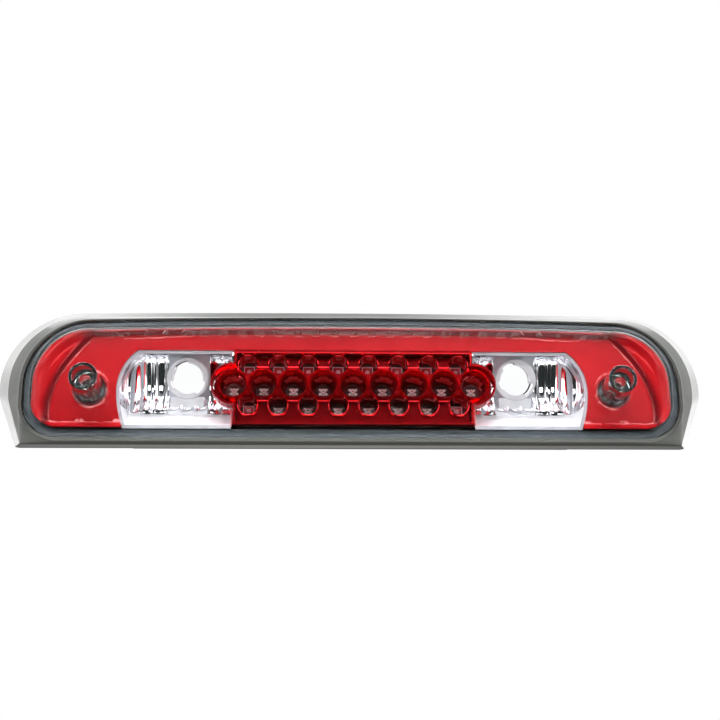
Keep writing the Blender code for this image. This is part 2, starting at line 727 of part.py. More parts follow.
def reflector_skin(name, side):
    """The open inner surface of a reflector bowl, facing outwards to the rear."""
    outer = WINDOW_X - REFLECTOR_RIM
    shares = (0.0, 0.012, 0.05, 0.11, 0.19, 0.3, 0.45, 0.6, 0.75, 0.9, 1.0)
    bm = bmesh.new()
    rows = []
    for share in shares:
        x = outer + (REFLECTOR_INNER_X - outer) * share
        top, low = window_half(x - 0.05, REFLECTOR_RIM)
        deep = min(1.0, share / 0.26)
        deep = max(0.03, (1 - (1 - deep) ** 2.6) ** (1 / 2.6))
        rows.append([bm.verts.new((side * x, spot.x, spot.y)) for spot in bowl_section(top, low, deep)])
    for first, second in zip(rows, rows[1:]):
        for i in range(len(first) - 1):
            bm.faces.new((first[i], first[i + 1], second[i + 1], second[i]))
    bm.faces.new(rows[-1])
    bmesh.ops.remove_doubles(bm, verts=bm.verts, dist=0.001)
    bmesh.ops.recalc_face_normals(bm, faces=bm.faces)
    outward = max(bm.faces, key=lambda f: f.calc_center_median().y)
    if outward.normal.y < 0:
        bmesh.ops.reverse_faces(bm, faces=bm.faces)
    bmesh.ops.scale(bm, vec=(MM, MM, MM), verts=bm.verts)
    mesh = bpy.data.meshes.new(name)
    bm.to_mesh(mesh)
    bm.free()
    return make_object(name, mesh, "chrome")


def pedestal(name, side, inset, front, back):
    """The box under a bulb collar, square to the bulb axis; inset gives its inside."""
    seat = Vector((side * BULB_X, BULB_SEAT.y, BULB_SEAT.z))
    down = Vector((0.0, BULB_AXIS.z, -BULB_AXIS.y))
    wide = Vector((PEDESTAL_HALF - inset, 0.0, 0.0))
    rings = []
    for along in (front, back):
        top = seat + BULB_AXIS * along + down * (PEDESTAL_TOP + inset)
        low = seat + BULB_AXIS * along + down * (PEDESTAL_LOW - inset)
        rings.append([top - wide, top + wide, low + wide, low - wide])
    return loft(name, rings, "chrome")


def make_cargo_reflector(name, side):
    """A reflector bowl with its bulb collar, hollow pedestal and screw lugs."""
    bowl = reflector_skin(name, side)
    skin = bowl.modifiers.new("thickness", "SOLIDIFY")
    skin.thickness = REFLECTOR_THICK * MM
    skin.offset = 1.0
    skin.use_even_offset = False
    bake(bowl)
    centre = Vector((side * BULB_X, BULB_SEAT.y, BULB_SEAT.z))
    ring = ((COLLAR_R, -COLLAR_LONG), (COLLAR_R + 0.6, 1.0))
    collar = turned("collar", ring, "chrome", centre, BULB_AXIS, 32)
    lugs = []
    for x, z in LUG_SPOTS:
        wall = wall_x(z) + 0.6
        low = (side * wall, LUG_Y - LUG_THICK, z - LUG_HALF)
        lugs.append(block("lug", low, (side * (x + LUG_HALF), LUG_Y, z + LUG_HALF), "chrome"))
    box = pedestal("box", side, 0.0, -PEDESTAL_LONG, 1.0)
    combine(bowl, [collar, box] + lugs, "UNION")
    holes = [bulb_key("hole", side, BULB_HOLE_R, -20.0, 10.0)]
    holes.append(pedestal("core", side, REFLECTOR_THICK, REFLECTOR_THICK - PEDESTAL_LONG, 10.0))
    for x, z in LUG_SPOTS:
        holes.append(drill(PILOT_R + 0.2, -THROUGH, -10.0, side * x, z))
    slot = sorted((side * (REFLECTOR_INNER_X - 8.0), side * (REFLECTOR_INNER_X + 0.6)))
    holes.append(block("slot", (slot[0], -40.0, -15.4), (slot[1], 0.6, 15.4), "chrome"))
    combine(bowl, holes, "DIFFERENCE")


# ---------------------------------------------------------------- stop-lamp block

def make_led_shroud():
    """The thin red frame round the stop-lamp block."""
    section = ((0.0, SHROUD_BACK_Y), (0.0, BLOCK_FRONT_Y),
               (SHROUD_WALL, BLOCK_FRONT_Y), (SHROUD_WALL, SHROUD_BACK_Y))
    rings = [[(x, y, z) for x, z in block_outline(inset)] for inset, y in section]
    loft("led_shroud", rings, "chrome_red", loop=True)


def cup_cutter(x, row, grow, steps=12):
    """A tapered cup, cut at the front by the row's plane; grow makes its outer side."""
    _, _, z, radius, front, tilt = row
    slope = math.tan(math.radians(tilt))
    rings = []
    reach = 0.0 if grow else 1.0
    ends = ((radius + grow, front - reach, slope), (CUP_BACK_R + grow, CUP_BACK_Y + 2 * reach, 0.0))
    for r, y, lean in ends:
        ring = []
        for i in range(steps):
            angle = math.tau * i / steps
            dz = r * math.sin(angle)
            ring.append((x + r * math.cos(angle), y - lean * dz, z + dz))
        rings.append(ring)
    return rings


def merged_lofts(name, bodies, finish):
    """Several lofted bodies in one mesh."""
    bm = bmesh.new()
    for rings in bodies:
        rows = [[bm.verts.new(point) for point in ring] for ring in rings]
        count = len(rows[0])
        faces = [bm.faces.new(rows[0]), bm.faces.new(rows[-1])]
        for first, second in zip(rows, rows[1:]):
            for i in range(count):
                j = (i + 1) % count
                faces.append(bm.faces.new((first[i], first[j], second[j], second[i])))
        bmesh.ops.recalc_face_normals(bm, faces=faces)
    bmesh.ops.scale(bm, vec=(MM, MM, MM), verts=bm.verts)
    mesh = bpy.data.meshes.new(name)
    bm.to_mesh(mesh)
    bm.free()
    return make_object(name, mesh, finish)


def make_led_reflector():
    """The cup plate: a flat web with a raised band and a tapered cup round every LED."""
    depths = (WEB_FRONT_Y, WEB_FRONT_Y + WEB_THICK)
    web = [[(x, y, z) for x, z in block_outline(SHROUD_WALL + 0.5)] for y in depths]
    reach = BLOCK_X - SHROUD_WALL - 0.5
    band, pocket = [], []
    for rings, inset, spots in ((band, 0.0, (BAND_FRONT_Y, WEB_FRONT_Y + WEB_THICK / 2)),
                                (pocket, BAND_THICK, (BAND_FRONT_Y + BAND_THICK, -THROUGH / 4))):
        x, low, high = reach - inset, BAND_LOW + inset, BAND_HIGH - inset
        rings += [[(-x, y, low), (x, y, low), (x, y, high), (-x, y, high)] for y in spots]
    body = merged_lofts("led_reflector", [web, band], "chrome_red")
    combine(body, [merged_lofts("pocket", [pocket], "chrome_red")], "DIFFERENCE", overlapping=True)
    cups = [(x, row) for row in CUP_ROWS for x in cup_centres(row)]
    walls = merged_lofts("walls", [cup_cutter(x, row, CUP_WALL) for x, row in cups], "chrome_red")
    combine(body, [walls], "UNION", overlapping=True)
    tool = merged_lofts("cups", [cup_cutter(x, row, 0.0) for x, row in cups], "chrome_red")
    combine(body, [tool], "DIFFERENCE", overlapping=True)


def make_led_mesh():
    """A four-pin LED: a square base with a round dome, facing -Y at the origin."""
    half = LED_SIDE / 2
    base = block("base", (-half, LED_BASE_Y, -half), (half, LED_BACK_Y, half), "led_clear")
    profile = [(LED_DOME_R, LED_BASE_Y + 1.0), (LED_DOME_R, LED_BASE_Y - 0.3)]
    for angle in (25, 50, 72):
        profile.append((LED_DOME_R * math.cos(math.radians(angle)),
                        LED_BASE_Y - 0.3 - LED_DOME_R * 0.8 * math.sin(math.radians(angle))))
    dome = turned("dome", profile, "led_clear", steps=12)
    combine(base, [dome], "UNION")
    mesh = base.data
    bpy.data.objects.remove(base)
    return mesh


def make_cap_mesh():
    """A blank cap for a cup with no LED: a square tile with a round pip in a ring."""
    half = LED_SIDE / 2
    base = block("base", (-half, LED_BASE_Y - 0.3, -half), (half, LED_BACK_Y, half), "cap_red")
    well = ((CAP_WELL_R, LED_BASE_Y - 2.0), (CAP_WELL_R, LED_BASE_Y + 0.7))
    well = turned("well", well, "cap_red", steps=16)
    combine(base, [well], "DIFFERENCE")
    pip = ((CAP_PIP_R, LED_BASE_Y + 1.5), (CAP_PIP_R, LED_BASE_Y - 0.2), (0.8, LED_BASE_Y - 0.7))
    pip = turned("pip", pip, "cap_red", steps=ROUND_CUT)
    combine(base, [pip], "UNION")
    mesh = base.data
    bpy.data.objects.remove(base)
    return mesh


def make_leds():
    """A clear LED or a blank cap behind every cup."""
    led = make_led_mesh()
    cap = make_cap_mesh()
    for row in CUP_ROWS:
        centres = cup_centres(row)
        live = 0
        blank = 0
        for i, x in enumerate(centres):
            dummy = row[0] == "top" or (row[0] == "low" and i in (0, len(centres) - 1))
            if dummy:
                blank += 1
                name = f"dummy_led_{row[0]}_{blank}"
            else:
                live += 1
                name = f"stop_led_{row[0]}_{live}"
            obj = bpy.data.objects.new(name, cap if dummy else led)
            bpy.context.scene.collection.objects.link(obj)
            obj.location = (x * MM, 0.0, row[2] * MM)


# ---------------------------------------------------------------- board and small parts

def make_led_board():
    """The circuit board with a tab at each end and four screw holes."""
    half = [(BOARD_X, BOARD_LOW), (BOARD_X, -BOARD_TAB_Z), (BOARD_TAB_X, -BOARD_TAB_Z),
            (BOARD_TAB_X, BOARD_TAB_Z), (BOARD_X, BOARD_TAB_Z), (BOARD_X, BOARD_HIGH)]
    edge = half + [(-x, z) for x, z in reversed(half)]
    board = plate("led_board", edge, BOARD_FRONT_Y, BOARD_BACK_Y, "board_red")
    holes = [drill(PILOT_R + 0.2, -10.0, 10.0, x, z) for x, z in BOARD_SPOTS]
    combine(board, holes, "DIFFERENCE")


def make_small_board_parts():
    """Drop resistors, the diode and the plug-in header on the back of the board."""
    back = BOARD_BACK_Y + GAP
    up = (0, 0, 1)
    for i in range(RESISTOR_COUNT):
        profile = ((0.9, -4.2), (1.35, -3.4), (1.15, -1.8), (1.15, 1.8), (1.35, 3.4), (0.9, 4.2))
        centre = (RESISTOR_X + RESISTOR_PITCH * i, back + 1.4, PARTS_ROW_Z)
        turned(f"resistor_{i + 1}", profile, "resistor_tan", centre, up, 8)
    profile = ((1.0, -3.2), (1.5, -2.8), (1.5, 2.8), (1.0, 3.2))
    turned("rectifier_diode", profile, "rubber_black", (DIODE_X, back + 1.55, PARTS_ROW_Z), up, 12)
    (x0, z0), (x1, z1) = HEADER_LOW, HEADER_HIGH
    header = block("wire_header", (x0, back, z0), (x1, back + HEADER_DEEP, z1), "header_white")
    low = (x0 + HEADER_WALL, back + 1.8, z0 + HEADER_WALL)
    high = (x1 - HEADER_WALL, back + HEADER_DEEP + 2.0, z1 - HEADER_WALL)
    combine(header, [block("cavity", low, high, "header_white")], "DIFFERENCE")


def screw(name, spot, head_y, long):
    """A pan-head self-tapping screw driven along +Y."""
    head = ((1.4, -1.9), (2.7, -1.5), (3.0, -0.7), (3.0, 0.0))
    profile = head + ((1.15, 0.0), (1.15, long - 1.2), (0.3, long))
    turned(name, profile, "screw_steel", (spot[0], head_y, spot[1]), steps=12)


def make_screws():
    """Screws of the circuit board and of the reflectors."""
    for i, spot in enumerate(BOARD_SPOTS):
        screw(f"board_screw_{i + 1}", spot, BOARD_FRONT_Y - GAP, 7.0)
    spots = [(side * x, z) for side in (-1, 1) for x, z in LUG_SPOTS]
    for i, spot in enumerate(spots):
        screw(f"reflector_screw_{i + 1}", spot, LUG_Y - LUG_THICK - GAP, 6.0)


def make_seals_and_plugs():
    """Rubber rings behind the screw tubes, the vent plugs and the cable grommet."""
    for side, word in ((-1, "left"), (1, "right")):
        front, back = TUBE_BACK_Y + GAP, BOSS_FRONT_Y - GAP
        seal = ((7.6, front), (7.6, back), (4.4, back), (4.4, front))
        turned_ring(f"screw_seal_{word}", seal, "rubber_black", (side * SCREW_X, 0, SCREW_Z))
        front, back = PAN_BACK_Y - WALL, PAN_BACK_Y + GAP
        plug = ((VENT_R - 0.6, front - 1.0), (VENT_R, front - 0.2), (VENT_R, back),
                (VENT_FLANGE_R, back), (VENT_FLANGE_R, back + 1.3), (VENT_FLANGE_R - 0.8, back + 1.9))
        turned(f"vent_plug_{word}", plug, "rubber_black", (side * VENT_X, 0, VENT_Z), steps=18)
    inner = -WALL - GAP
    outer = GAP
    grommet = ((GLAND_BORE_R, inner - 2.2), (7.6, inner - 2.0), (8.0, inner), (GLAND_NECK_R, inner),
               (GLAND_NECK_R, outer), (8.6, outer), (8.2, outer + 2.4), (GLAND_BORE_R, outer + 4.0))
    turned_ring("cable_grommet", grommet, "rubber_black", gland_spot(), BULB_AXIS, 20)


def main():
    """Build every piece."""
    for obj in list(bpy.data.objects):
        bpy.data.objects.remove(obj)
    make_housing()
    make_rear_gasket()
    make_lens_sealant()
    make_outer_lens()
    make_red_bezel()
    make_cargo_reflector("cargo_reflector_left", -1)
    make_cargo_reflector("cargo_reflector_right", 1)
    make_led_shroud()
    make_led_reflector()
    make_led_board()
    make_leds()
    make_small_board_parts()
    make_screws()
    make_seals_and_plugs()


main()
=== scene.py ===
"""Looks of the third brake light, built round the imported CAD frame.

Lengths in the tables below are in millimetres, in the frame's axes: X along the lamp, +Z up,
and the lamp faces -Y.
"""
import json
import math
from collections import namedtuple
from functools import partial

import bmesh
import bpy
import numpy as np
from mathutils import Matrix, Vector
from mathutils.geometry import delaunay_2d_cdt


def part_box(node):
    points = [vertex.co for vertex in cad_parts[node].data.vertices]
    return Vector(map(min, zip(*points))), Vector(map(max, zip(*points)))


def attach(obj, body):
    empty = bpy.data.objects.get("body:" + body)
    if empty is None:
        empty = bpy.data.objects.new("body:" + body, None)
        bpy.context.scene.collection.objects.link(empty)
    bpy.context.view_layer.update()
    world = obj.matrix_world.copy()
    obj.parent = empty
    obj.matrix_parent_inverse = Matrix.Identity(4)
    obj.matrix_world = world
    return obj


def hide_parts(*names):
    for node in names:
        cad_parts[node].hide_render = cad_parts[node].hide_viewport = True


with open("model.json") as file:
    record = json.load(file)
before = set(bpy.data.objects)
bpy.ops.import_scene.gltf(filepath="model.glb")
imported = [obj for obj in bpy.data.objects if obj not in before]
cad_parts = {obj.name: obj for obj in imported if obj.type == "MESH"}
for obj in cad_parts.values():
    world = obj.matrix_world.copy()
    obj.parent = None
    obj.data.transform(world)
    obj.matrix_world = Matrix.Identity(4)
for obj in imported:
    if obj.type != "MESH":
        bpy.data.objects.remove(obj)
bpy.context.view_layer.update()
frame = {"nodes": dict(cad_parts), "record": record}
nodes = frame["nodes"]
mats = {}
MM = 0.001
SIDES = ((-1, "left"), (1, "right"))


def node_centre(name):
    """Middle of a CAD node's box in millimetres."""
    low, high = (Vector(corner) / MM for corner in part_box(name))
    return (low + high) / 2


def held(value):
    """A value held between 0 and 1."""
    return min(1.0, max(0.0, value))


def add_object(name, data):
    """A new object in the scene."""
    obj = bpy.data.objects.new(name, data)
    bpy.context.scene.collection.objects.link(obj)
    return obj


# ---- node helpers

def maths(tree, operation, first, second=0.0):
    """Arithmetic on two values; either can be a plain number."""
    node = tree.nodes.new("ShaderNodeMath")
    node.operation = operation
    for socket, value in zip(node.inputs, (first, second)):
        if isinstance(value, (int, float)):
            socket.default_value = value
        else:
            tree.links.new(value, socket)
    return node.outputs[0]


def mapped(tree, value, low, high, new_low=0.0, new_high=1.0, shape="LINEAR"):
    """A value moved from one range to another, held inside the new one."""
    node = tree.nodes.new("ShaderNodeMapRange")
    node.interpolation_type = shape
    for socket, number in zip(("From Min", "From Max", "To Min", "To Max"), (low, high, new_low, new_high)):
        node.inputs[socket].default_value = number
    tree.links.new(value, node.inputs["Value"])
    return node.outputs["Result"]


def blend(tree, below, colour, amount):
    """A colour laid over another, which is a tuple or a socket."""
    node = tree.nodes.new("ShaderNodeMix")
    node.data_type = "RGBA"
    tree.links.new(amount, node.inputs["Factor"])
    if isinstance(below, tuple):
        node.inputs["A"].default_value = (*below, 1.0)
    else:
        tree.links.new(below, node.inputs["A"])
    node.inputs["B"].default_value = (*colour, 1.0)
    return node.outputs["Result"]


def axis_mm(tree, axis):
    """One of a point's object coordinates, in millimetres."""
    place = tree.nodes.new("ShaderNodeTexCoord")
    parts = tree.nodes.new("ShaderNodeSeparateXYZ")
    tree.links.new(place.outputs["Object"], parts.inputs["Vector"])
    return maths(tree, "MULTIPLY", parts.outputs[axis], 1000.0)


# ---- camera and light

CAMERA_SPOT = (-0.0260, -0.7864, -0.2406)
AZIMUTH, ELEVATION, ROLL = math.radians(2.266), math.radians(18.615), math.radians(-0.404)
FOCAL, SENSOR, CLIP_START = 62.26, 36.0, 0.01
AMBIENT = (0.34, 0.34, 0.36)
BACKDROP = (1, 1, 1, 1)
BEHIND, FRONT = 1, -1
EDGE_SOFT = 0.02
# The studio's lights, each laid over the ones before it. A spot has a direction and the cosines at
# its edge and where it is full. A band has an elevation and a half height in degrees, its side of
# the lamp, and the same two cosines round its middle.
LIGHTS = (
    ("spot", (7.5, 7.5, 7.6), (0, -0.04, 1), 0.72, 0.84),
    *(("spot", (4.6, 4.6, 4.6), (side, -0.1, 0.2), 0.62, 0.8) for side, _ in SIDES),
    *(("spot", (3.6, 3.6, 3.6), (side * 0.72, 0.64, 0.28), 0.88, 0.95) for side, _ in SIDES),
    ("band", (0.09, 0.09, 0.10), 38.0, 8.0, BEHIND, 0.93, 0.98),
    ("band", (2.0, 2.0, 2.0), 23.0, 5.0, BEHIND, 0.62, 0.8),
    *(("spot", (3.0, 3.0, 3.0), (side * 0.36, 0.78, 0.5), 0.95, 0.985) for side, _ in SIDES),
    ("spot", (0.28, 0.28, 0.27), (0, 0, -1), 0.06, 0.2),
    ("spot", (1.0, 0.98, 0.92), (0, 0.95, -0.32), 0.93, 0.985),
    ("spot", (2.2, 2.2, 2.1), (0, -0.6, -0.8), 0.84, 0.93),
    ("spot", (0.025, 0.03, 0.029), (-0.12, -1, -0.33), 0.76, 0.86),
    ("band", (7.0, 7.0, 7.0), 1.0, 3.6, FRONT, 0.945, 0.975),
    ("spot", (9.0, 9.0, 9.0), (-0.1, -0.72, 0.69), 0.972, 0.984),
    ("band", (5.0, 5.0, 5.0), 30.0, 3.4, FRONT, 0.88, 0.93),
)


def make_camera():
    """The camera at the photograph's viewing angle."""
    data = bpy.data.cameras.new("camera")
    data.lens, data.sensor_width, data.clip_start = FOCAL, SENSOR, CLIP_START
    camera = add_object("camera", data)
    turns = ((-AZIMUTH, "Z"), (ELEVATION + math.pi / 2, "X"), (ROLL, "Z"))
    azimuth, elevation, roll = (Matrix.Rotation(angle, 4, axis) for angle, axis in turns)
    camera.matrix_world = Matrix.Translation(CAMERA_SPOT) @ azimuth @ elevation @ roll
    bpy.context.scene.camera = camera


def make_world():
    """A bright studio: white above and beside, dark in front where the viewer stands."""
    world = bpy.data.worlds.new("studio")
    bpy.context.scene.world = world
    world.use_nodes = True
    tree = world.node_tree
    tree.nodes.clear()
    place = tree.nodes.new("ShaderNodeTexCoord")

    def spot(direction, start, end):
        """1 near a direction, 0 away from it."""
        dot = tree.nodes.new("ShaderNodeVectorMath")
        dot.operation = "DOT_PRODUCT"
        tree.links.new(place.outputs["Generated"], dot.inputs[0])
        dot.inputs[1].default_value = Vector(direction).normalized()
        return mapped(tree, dot.outputs["Value"], start, end, shape="SMOOTHSTEP")

    def band(elevation, half, facing, start, end):
        """1 in a level strip on one side of the lamp, 0 away from it."""
        angle = math.radians(elevation)
        up = Vector((0, -facing * math.sin(angle), math.cos(angle)))
        edge = -math.sin(math.radians(half))
        inside = maths(tree, "MULTIPLY", spot(up, edge - EDGE_SOFT, edge), spot(-up, edge - EDGE_SOFT, edge))
        middle = (0, facing * math.cos(angle), math.sin(angle))
        return maths(tree, "MULTIPLY", inside, spot(middle, start, end))

    kinds = {"spot": spot, "band": band}
    shade = AMBIENT
    for kind, colour, *where in LIGHTS:
        shade = blend(tree, shade, colour, kinds[kind](*where))
    lit = tree.nodes.new("ShaderNodeBackground")
    tree.links.new(shade, lit.inputs["Color"])
    seen = tree.nodes.new("ShaderNodeBackground")
    seen.inputs["Color"].default_value = BACKDROP
    # What is seen directly, or straight through clear plastic, is the white backdrop.
    path = tree.nodes.new("ShaderNodeLightPath")
    depth = maths(tree, "ADD", path.outputs["Glossy Depth"], path.outputs["Diffuse Depth"])
    mix = tree.nodes.new("ShaderNodeMixShader")
    tree.links.new(maths(tree, "LESS_THAN", depth, 0.5), mix.inputs["Fac"])
    tree.links.new(lit.outputs["Background"], mix.inputs[1])
    tree.links.new(seen.outputs["Background"], mix.inputs[2])
    out = tree.nodes.new("ShaderNodeOutputWorld")
    tree.links.new(mix.outputs["Shader"], out.inputs["Surface"])


# ---- materials

# The bezel's rim, and the valley along the inner edge of its sloped ends, which place the bezel's painted
# shade; the valley's edge also shapes the bezel.
RIM_TOP, RIM_LOW, RIM_BOW = 38.0, -29.3, 0.000094
CRESCENT_LOW, CRESCENT_X, CRESCENT_LEAN, CRESCENT_BOW = 22.0, 192.6, 0.06, 0.0098
# Painted shade: the dark red laid over the bezel's top wall, end valleys, bottom rim and the rings round its
# tubes.
BEZEL_PAINTED_SHADE = (0.06, 0.004, 0.006)
BEZEL_SPECULAR, BEZEL_COAT = 0.5, 0.35
# Painted light: a paler grey laid on the housing's lower edge, full at FOOT_LOW and below, fading out by
# FOOT_TOP.
FOOT_PAINTED_LIGHT, FOOT_TOP, FOOT_LOW = (0.10, 0.105, 0.094), -28.0, -36.0
STIPPLE_TOP, STIPPLE_LOW = -12.6, -13.4
COLOUR_DETAIL, GRAIN_DETAIL, ROUGH_SCALE = 3.0, 4.0, 1.7
TONE_START, TONE_END = 0.35, 0.65


def object_noise(tree, scale, detail=2.0):
    """A noise pattern fixed to the piece."""
    place = tree.nodes.new("ShaderNodeTexCoord")
    noise = tree.nodes.new("ShaderNodeTexNoise")
    noise.inputs["Scale"].default_value = scale
    noise.inputs["Detail"].default_value = detail
    tree.links.new(place.outputs["Object"], noise.inputs["Vector"])
    return noise.outputs["Fac"]


def add_grain(tree, shader, scale, distance, strength=0.4):
    """Fine surface grain."""
    bump = tree.nodes.new("ShaderNodeBump")
    bump.inputs["Strength"].default_value = strength
    bump.inputs["Distance"].default_value = distance
    tree.links.new(object_noise(tree, scale, GRAIN_DETAIL), bump.inputs["Height"])
    tree.links.new(bump.outputs["Normal"], shader.inputs["Normal"])


def add_finish(key, low, high, scale, rough, grain=None, **values):
    """A material whose colour and roughness wander between two tones and two values."""
    made = bpy.data.materials.new(key)
    made.use_nodes = True
    tree = made.node_tree
    shader = tree.nodes["Principled BSDF"]
    for name, value in values.items():
        shader.inputs[name.replace("_", " ")].default_value = value
    ramp = tree.nodes.new("ShaderNodeValToRGB")
    for element, position, tone in zip(ramp.color_ramp.elements, (TONE_START, TONE_END), (low, high)):
        element.position = position
        element.color = (*tone, 1.0)
    tree.links.new(object_noise(tree, scale, COLOUR_DETAIL), ramp.inputs["Fac"])
    tree.links.new(ramp.outputs["Color"], shader.inputs["Base Color"])
    roughness = mapped(tree, object_noise(tree, scale * ROUGH_SCALE), 0.0, 1.0, *rough)
    tree.links.new(roughness, shader.inputs["Roughness"])
    if grain:
        add_grain(tree, shader, *grain)
    mats[key] = made


def tint(key, colour, amount):
    """Lay a colour over a material's own."""
    tree = mats[key].node_tree
    base = tree.nodes["Principled BSDF"].inputs["Base Color"]
    tree.links.new(blend(tree, base.links[0].from_socket, colour, amount), base)


def paint_housing_light():
    """Painted light: a paler grey along the housing's lower edge, which lightens it where it stands in the
    lens's shade.
    """
    tree = mats["housing_grey"].node_tree
    tint("housing_grey", FOOT_PAINTED_LIGHT, mapped(tree, axis_mm(tree, 2), FOOT_TOP, FOOT_LOW))


def shade_bowls():
    """Stipple the bowls' floor, so that it scatters light where the walls mirror it."""
    tree = mats["chrome"].node_tree
    shader = tree.nodes["Principled BSDF"]
    height = axis_mm(tree, 2)
    for name, wall, floor in (("Metallic", 1.0, 0.8), ("Roughness", 0.05, 0.5)):
        tree.links.new(mapped(tree, height, STIPPLE_TOP, STIPPLE_LOW, wall, floor), shader.inputs[name])


def paint_bezel_shade():
    """Painted shade: darken the bezel's top wall, the valley of its sloped ends, its bottom rim and the rings
    round its tubes, and weaken its gloss in the valley and at the bottom rim.
    """
    tree = mats["bezel_red"].node_tree
    shader = tree.nodes["Principled BSDF"]
    words = ("MULTIPLY", "SUBTRACT", "ADD", "MAXIMUM")
    times, less, plus, most = (partial(maths, tree, word) for word in words)
    across = maths(tree, "ABSOLUTE", axis_mm(tree, 0))
    height = axis_mm(tree, 2)
    up = most(plus(height, CRESCENT_LOW), 0.0)
    edge = less(plus(times(up, CRESCENT_LEAN), CRESCENT_X), times(times(up, up), CRESCENT_BOW))
    reach = less(across, edge)
    valley = times(mapped(tree, reach, -0.5, 1.2, 0.0, 1.0), mapped(tree, reach, 2.6, 6.0, 1.0, 0.0))
    foot = mapped(tree, height, RIM_LOW + 3.0, RIM_LOW + 4.2, 1.0, 0.0)
    gloss = times(mapped(tree, reach, -0.5, 1.2, 1.0, 0.12), less(1.0, foot))
    for name, full in (("Specular IOR Level", BEZEL_SPECULAR), ("Coat Weight", BEZEL_COAT)):
        tree.links.new(times(gloss, full), shader.inputs[name])
    unbowed = plus(height, times(times(across, across), RIM_BOW))
    wall = times(mapped(tree, unbowed, RIM_TOP - 4.4, RIM_TOP - 3.2, 0.0, 1.0),
                 mapped(tree, unbowed, RIM_TOP - 1.2, RIM_TOP - 0.6, 1.0, 0.0))
    wall = times(wall, mapped(tree, across, 166.0, 182.0, 1.0, 0.0))
    aside, below = less(across, SCREW_X), less(height, SCREW_Z - 0.7)
    radius = maths(tree, "SQRT", plus(times(aside, aside), times(below, below)))
    ring = times(mapped(tree, radius, 10.7, 11.2, 1.0, 0.0), 1.2)
    # Painted shade where the bezel's top wall faces down, in the end valleys, along the bottom rim and in the
    # rings round the tubes.
    dark = most(most(most(valley, wall), times(foot, 0.45)), ring)
    tint("bezel_red", BEZEL_PAINTED_SHADE, times(dark, 0.8))


def make_materials():
    """Every material, by short name."""
    add_finish("housing_grey", (0.042, 0.045, 0.039), (0.050, 0.053, 0.046), 60, (0.30, 0.36),
               (2600, 0.00006), Specular_IOR_Level=0.5)
    add_finish("foam_black", (0.012, 0.012, 0.013), (0.03, 0.03, 0.032), 900, (0.85, 0.98),
               (1800, 0.0004, 0.8))
    add_finish("sealant_dark", (0.028, 0.042, 0.052), (0.045, 0.06, 0.07), 130, (0.25, 0.45), (300, 0.0002))
    add_finish("bezel_red", (0.34, 0.005, 0.008), (0.40, 0.009, 0.012), 22, (0.08, 0.14),
               Metallic=0.15, Coat_Roughness=0.06)
    add_finish("chrome", (0.86, 0.86, 0.89), (0.90, 0.90, 0.92), 40, (0.03, 0.07))
    add_finish("chrome_rim", (0.36, 0.355, 0.39), (0.43, 0.425, 0.46), 120, (0.25, 0.35), Metallic=0.3)
    add_finish("chrome_satin", (0.72, 0.73, 0.76), (0.80, 0.81, 0.83), 120, (0.28, 0.38), Metallic=0.12)
    add_finish("chrome_red", (0.50, 0.007, 0.012), (0.60, 0.012, 0.018), 60, (0.06, 0.12), Metallic=0.85)
    add_finish("board_red", (0.05, 0.008, 0.010), (0.10, 0.014, 0.016), 400, (0.3, 0.5))
    add_finish("cap_red", (0.42, 0.03, 0.05), (0.55, 0.06, 0.08), 300, (0.2, 0.3))
    add_finish("cap_edge", (0.75, 0.30, 0.36), (0.85, 0.42, 0.46), 300, (0.3, 0.4))
    add_finish("rubber_black", (0.014, 0.014, 0.016), (0.028, 0.028, 0.03), 300, (0.6, 0.85), (900, 0.0001))
    add_finish("resistor_tan", (0.55, 0.40, 0.24), (0.66, 0.50, 0.31), 500, (0.35, 0.5))
    add_finish("header_white", (0.74, 0.74, 0.70), (0.82, 0.82, 0.78), 300, (0.35, 0.5))
    add_finish("screw_steel", (0.50, 0.50, 0.47), (0.62, 0.61, 0.56), 700, (0.22, 0.38), Metallic=1.0)
    add_finish("chip_pale", (0.88, 0.85, 0.84), (0.98, 0.96, 0.95), 800, (0.25, 0.4))
    add_finish("lens_clear", (0.97, 0.98, 0.985), (0.99, 0.995, 1.0), 30, (0.0, 0.012),
               Transmission_Weight=1.0, IOR=1.035)
    add_finish("tube_clear", (0.66, 0.72, 0.71), (0.72, 0.78, 0.77), 30, (0.0, 0.012),
               Transmission_Weight=1.0, IOR=1.47)
    add_finish("led_clear", (0.98, 0.97, 0.97), (1.0, 0.99, 0.99), 200, (0.0, 0.03),
               Transmission_Weight=1.0, IOR=1.25)
    paint_housing_light()
    paint_bezel_shade()
    shade_bowls()


# ---- mesh helpers

SHARP_ANGLE, MERGE_DIST = 35.0, 0.0005


def smooth(mesh, angle=SHARP_ANGLE):
    """Smooth shading but for sharp edges."""
    mesh.shade_smooth()
    mesh.set_sharp_from_angle(angle=math.radians(angle))


def make_mesh(name, shape, material, angle=SHARP_ANGLE):
    """An object from vertices and faces drawn in millimetres, facing outwards."""
    verts, faces = shape
    mesh = bpy.data.meshes.new(name)
    mesh.from_pydata([tuple(v) for v in verts], [], [tuple(f) for f in faces])
    bm = bmesh.new()
    bm.from_mesh(mesh)
    bmesh.ops.remove_doubles(bm, verts=bm.verts, dist=MERGE_DIST)
    bmesh.ops.recalc_face_normals(bm, faces=bm.faces)
    if bm.calc_volume(signed=True) < 0:
        bmesh.ops.reverse_faces(bm, faces=bm.faces)
    bmesh.ops.scale(bm, vec=(MM, MM, MM), verts=bm.verts)
    bm.to_mesh(mesh)
    bm.free()
    mesh.materials.append(material)
    obj = add_object(name, mesh)
    smooth(mesh, angle)
    return obj


def settle(obj, slot_name, *replaced):
    """Tie a finished piece to the lamp."""
    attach(obj, "root")
    if replaced:
        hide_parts(*replaced)


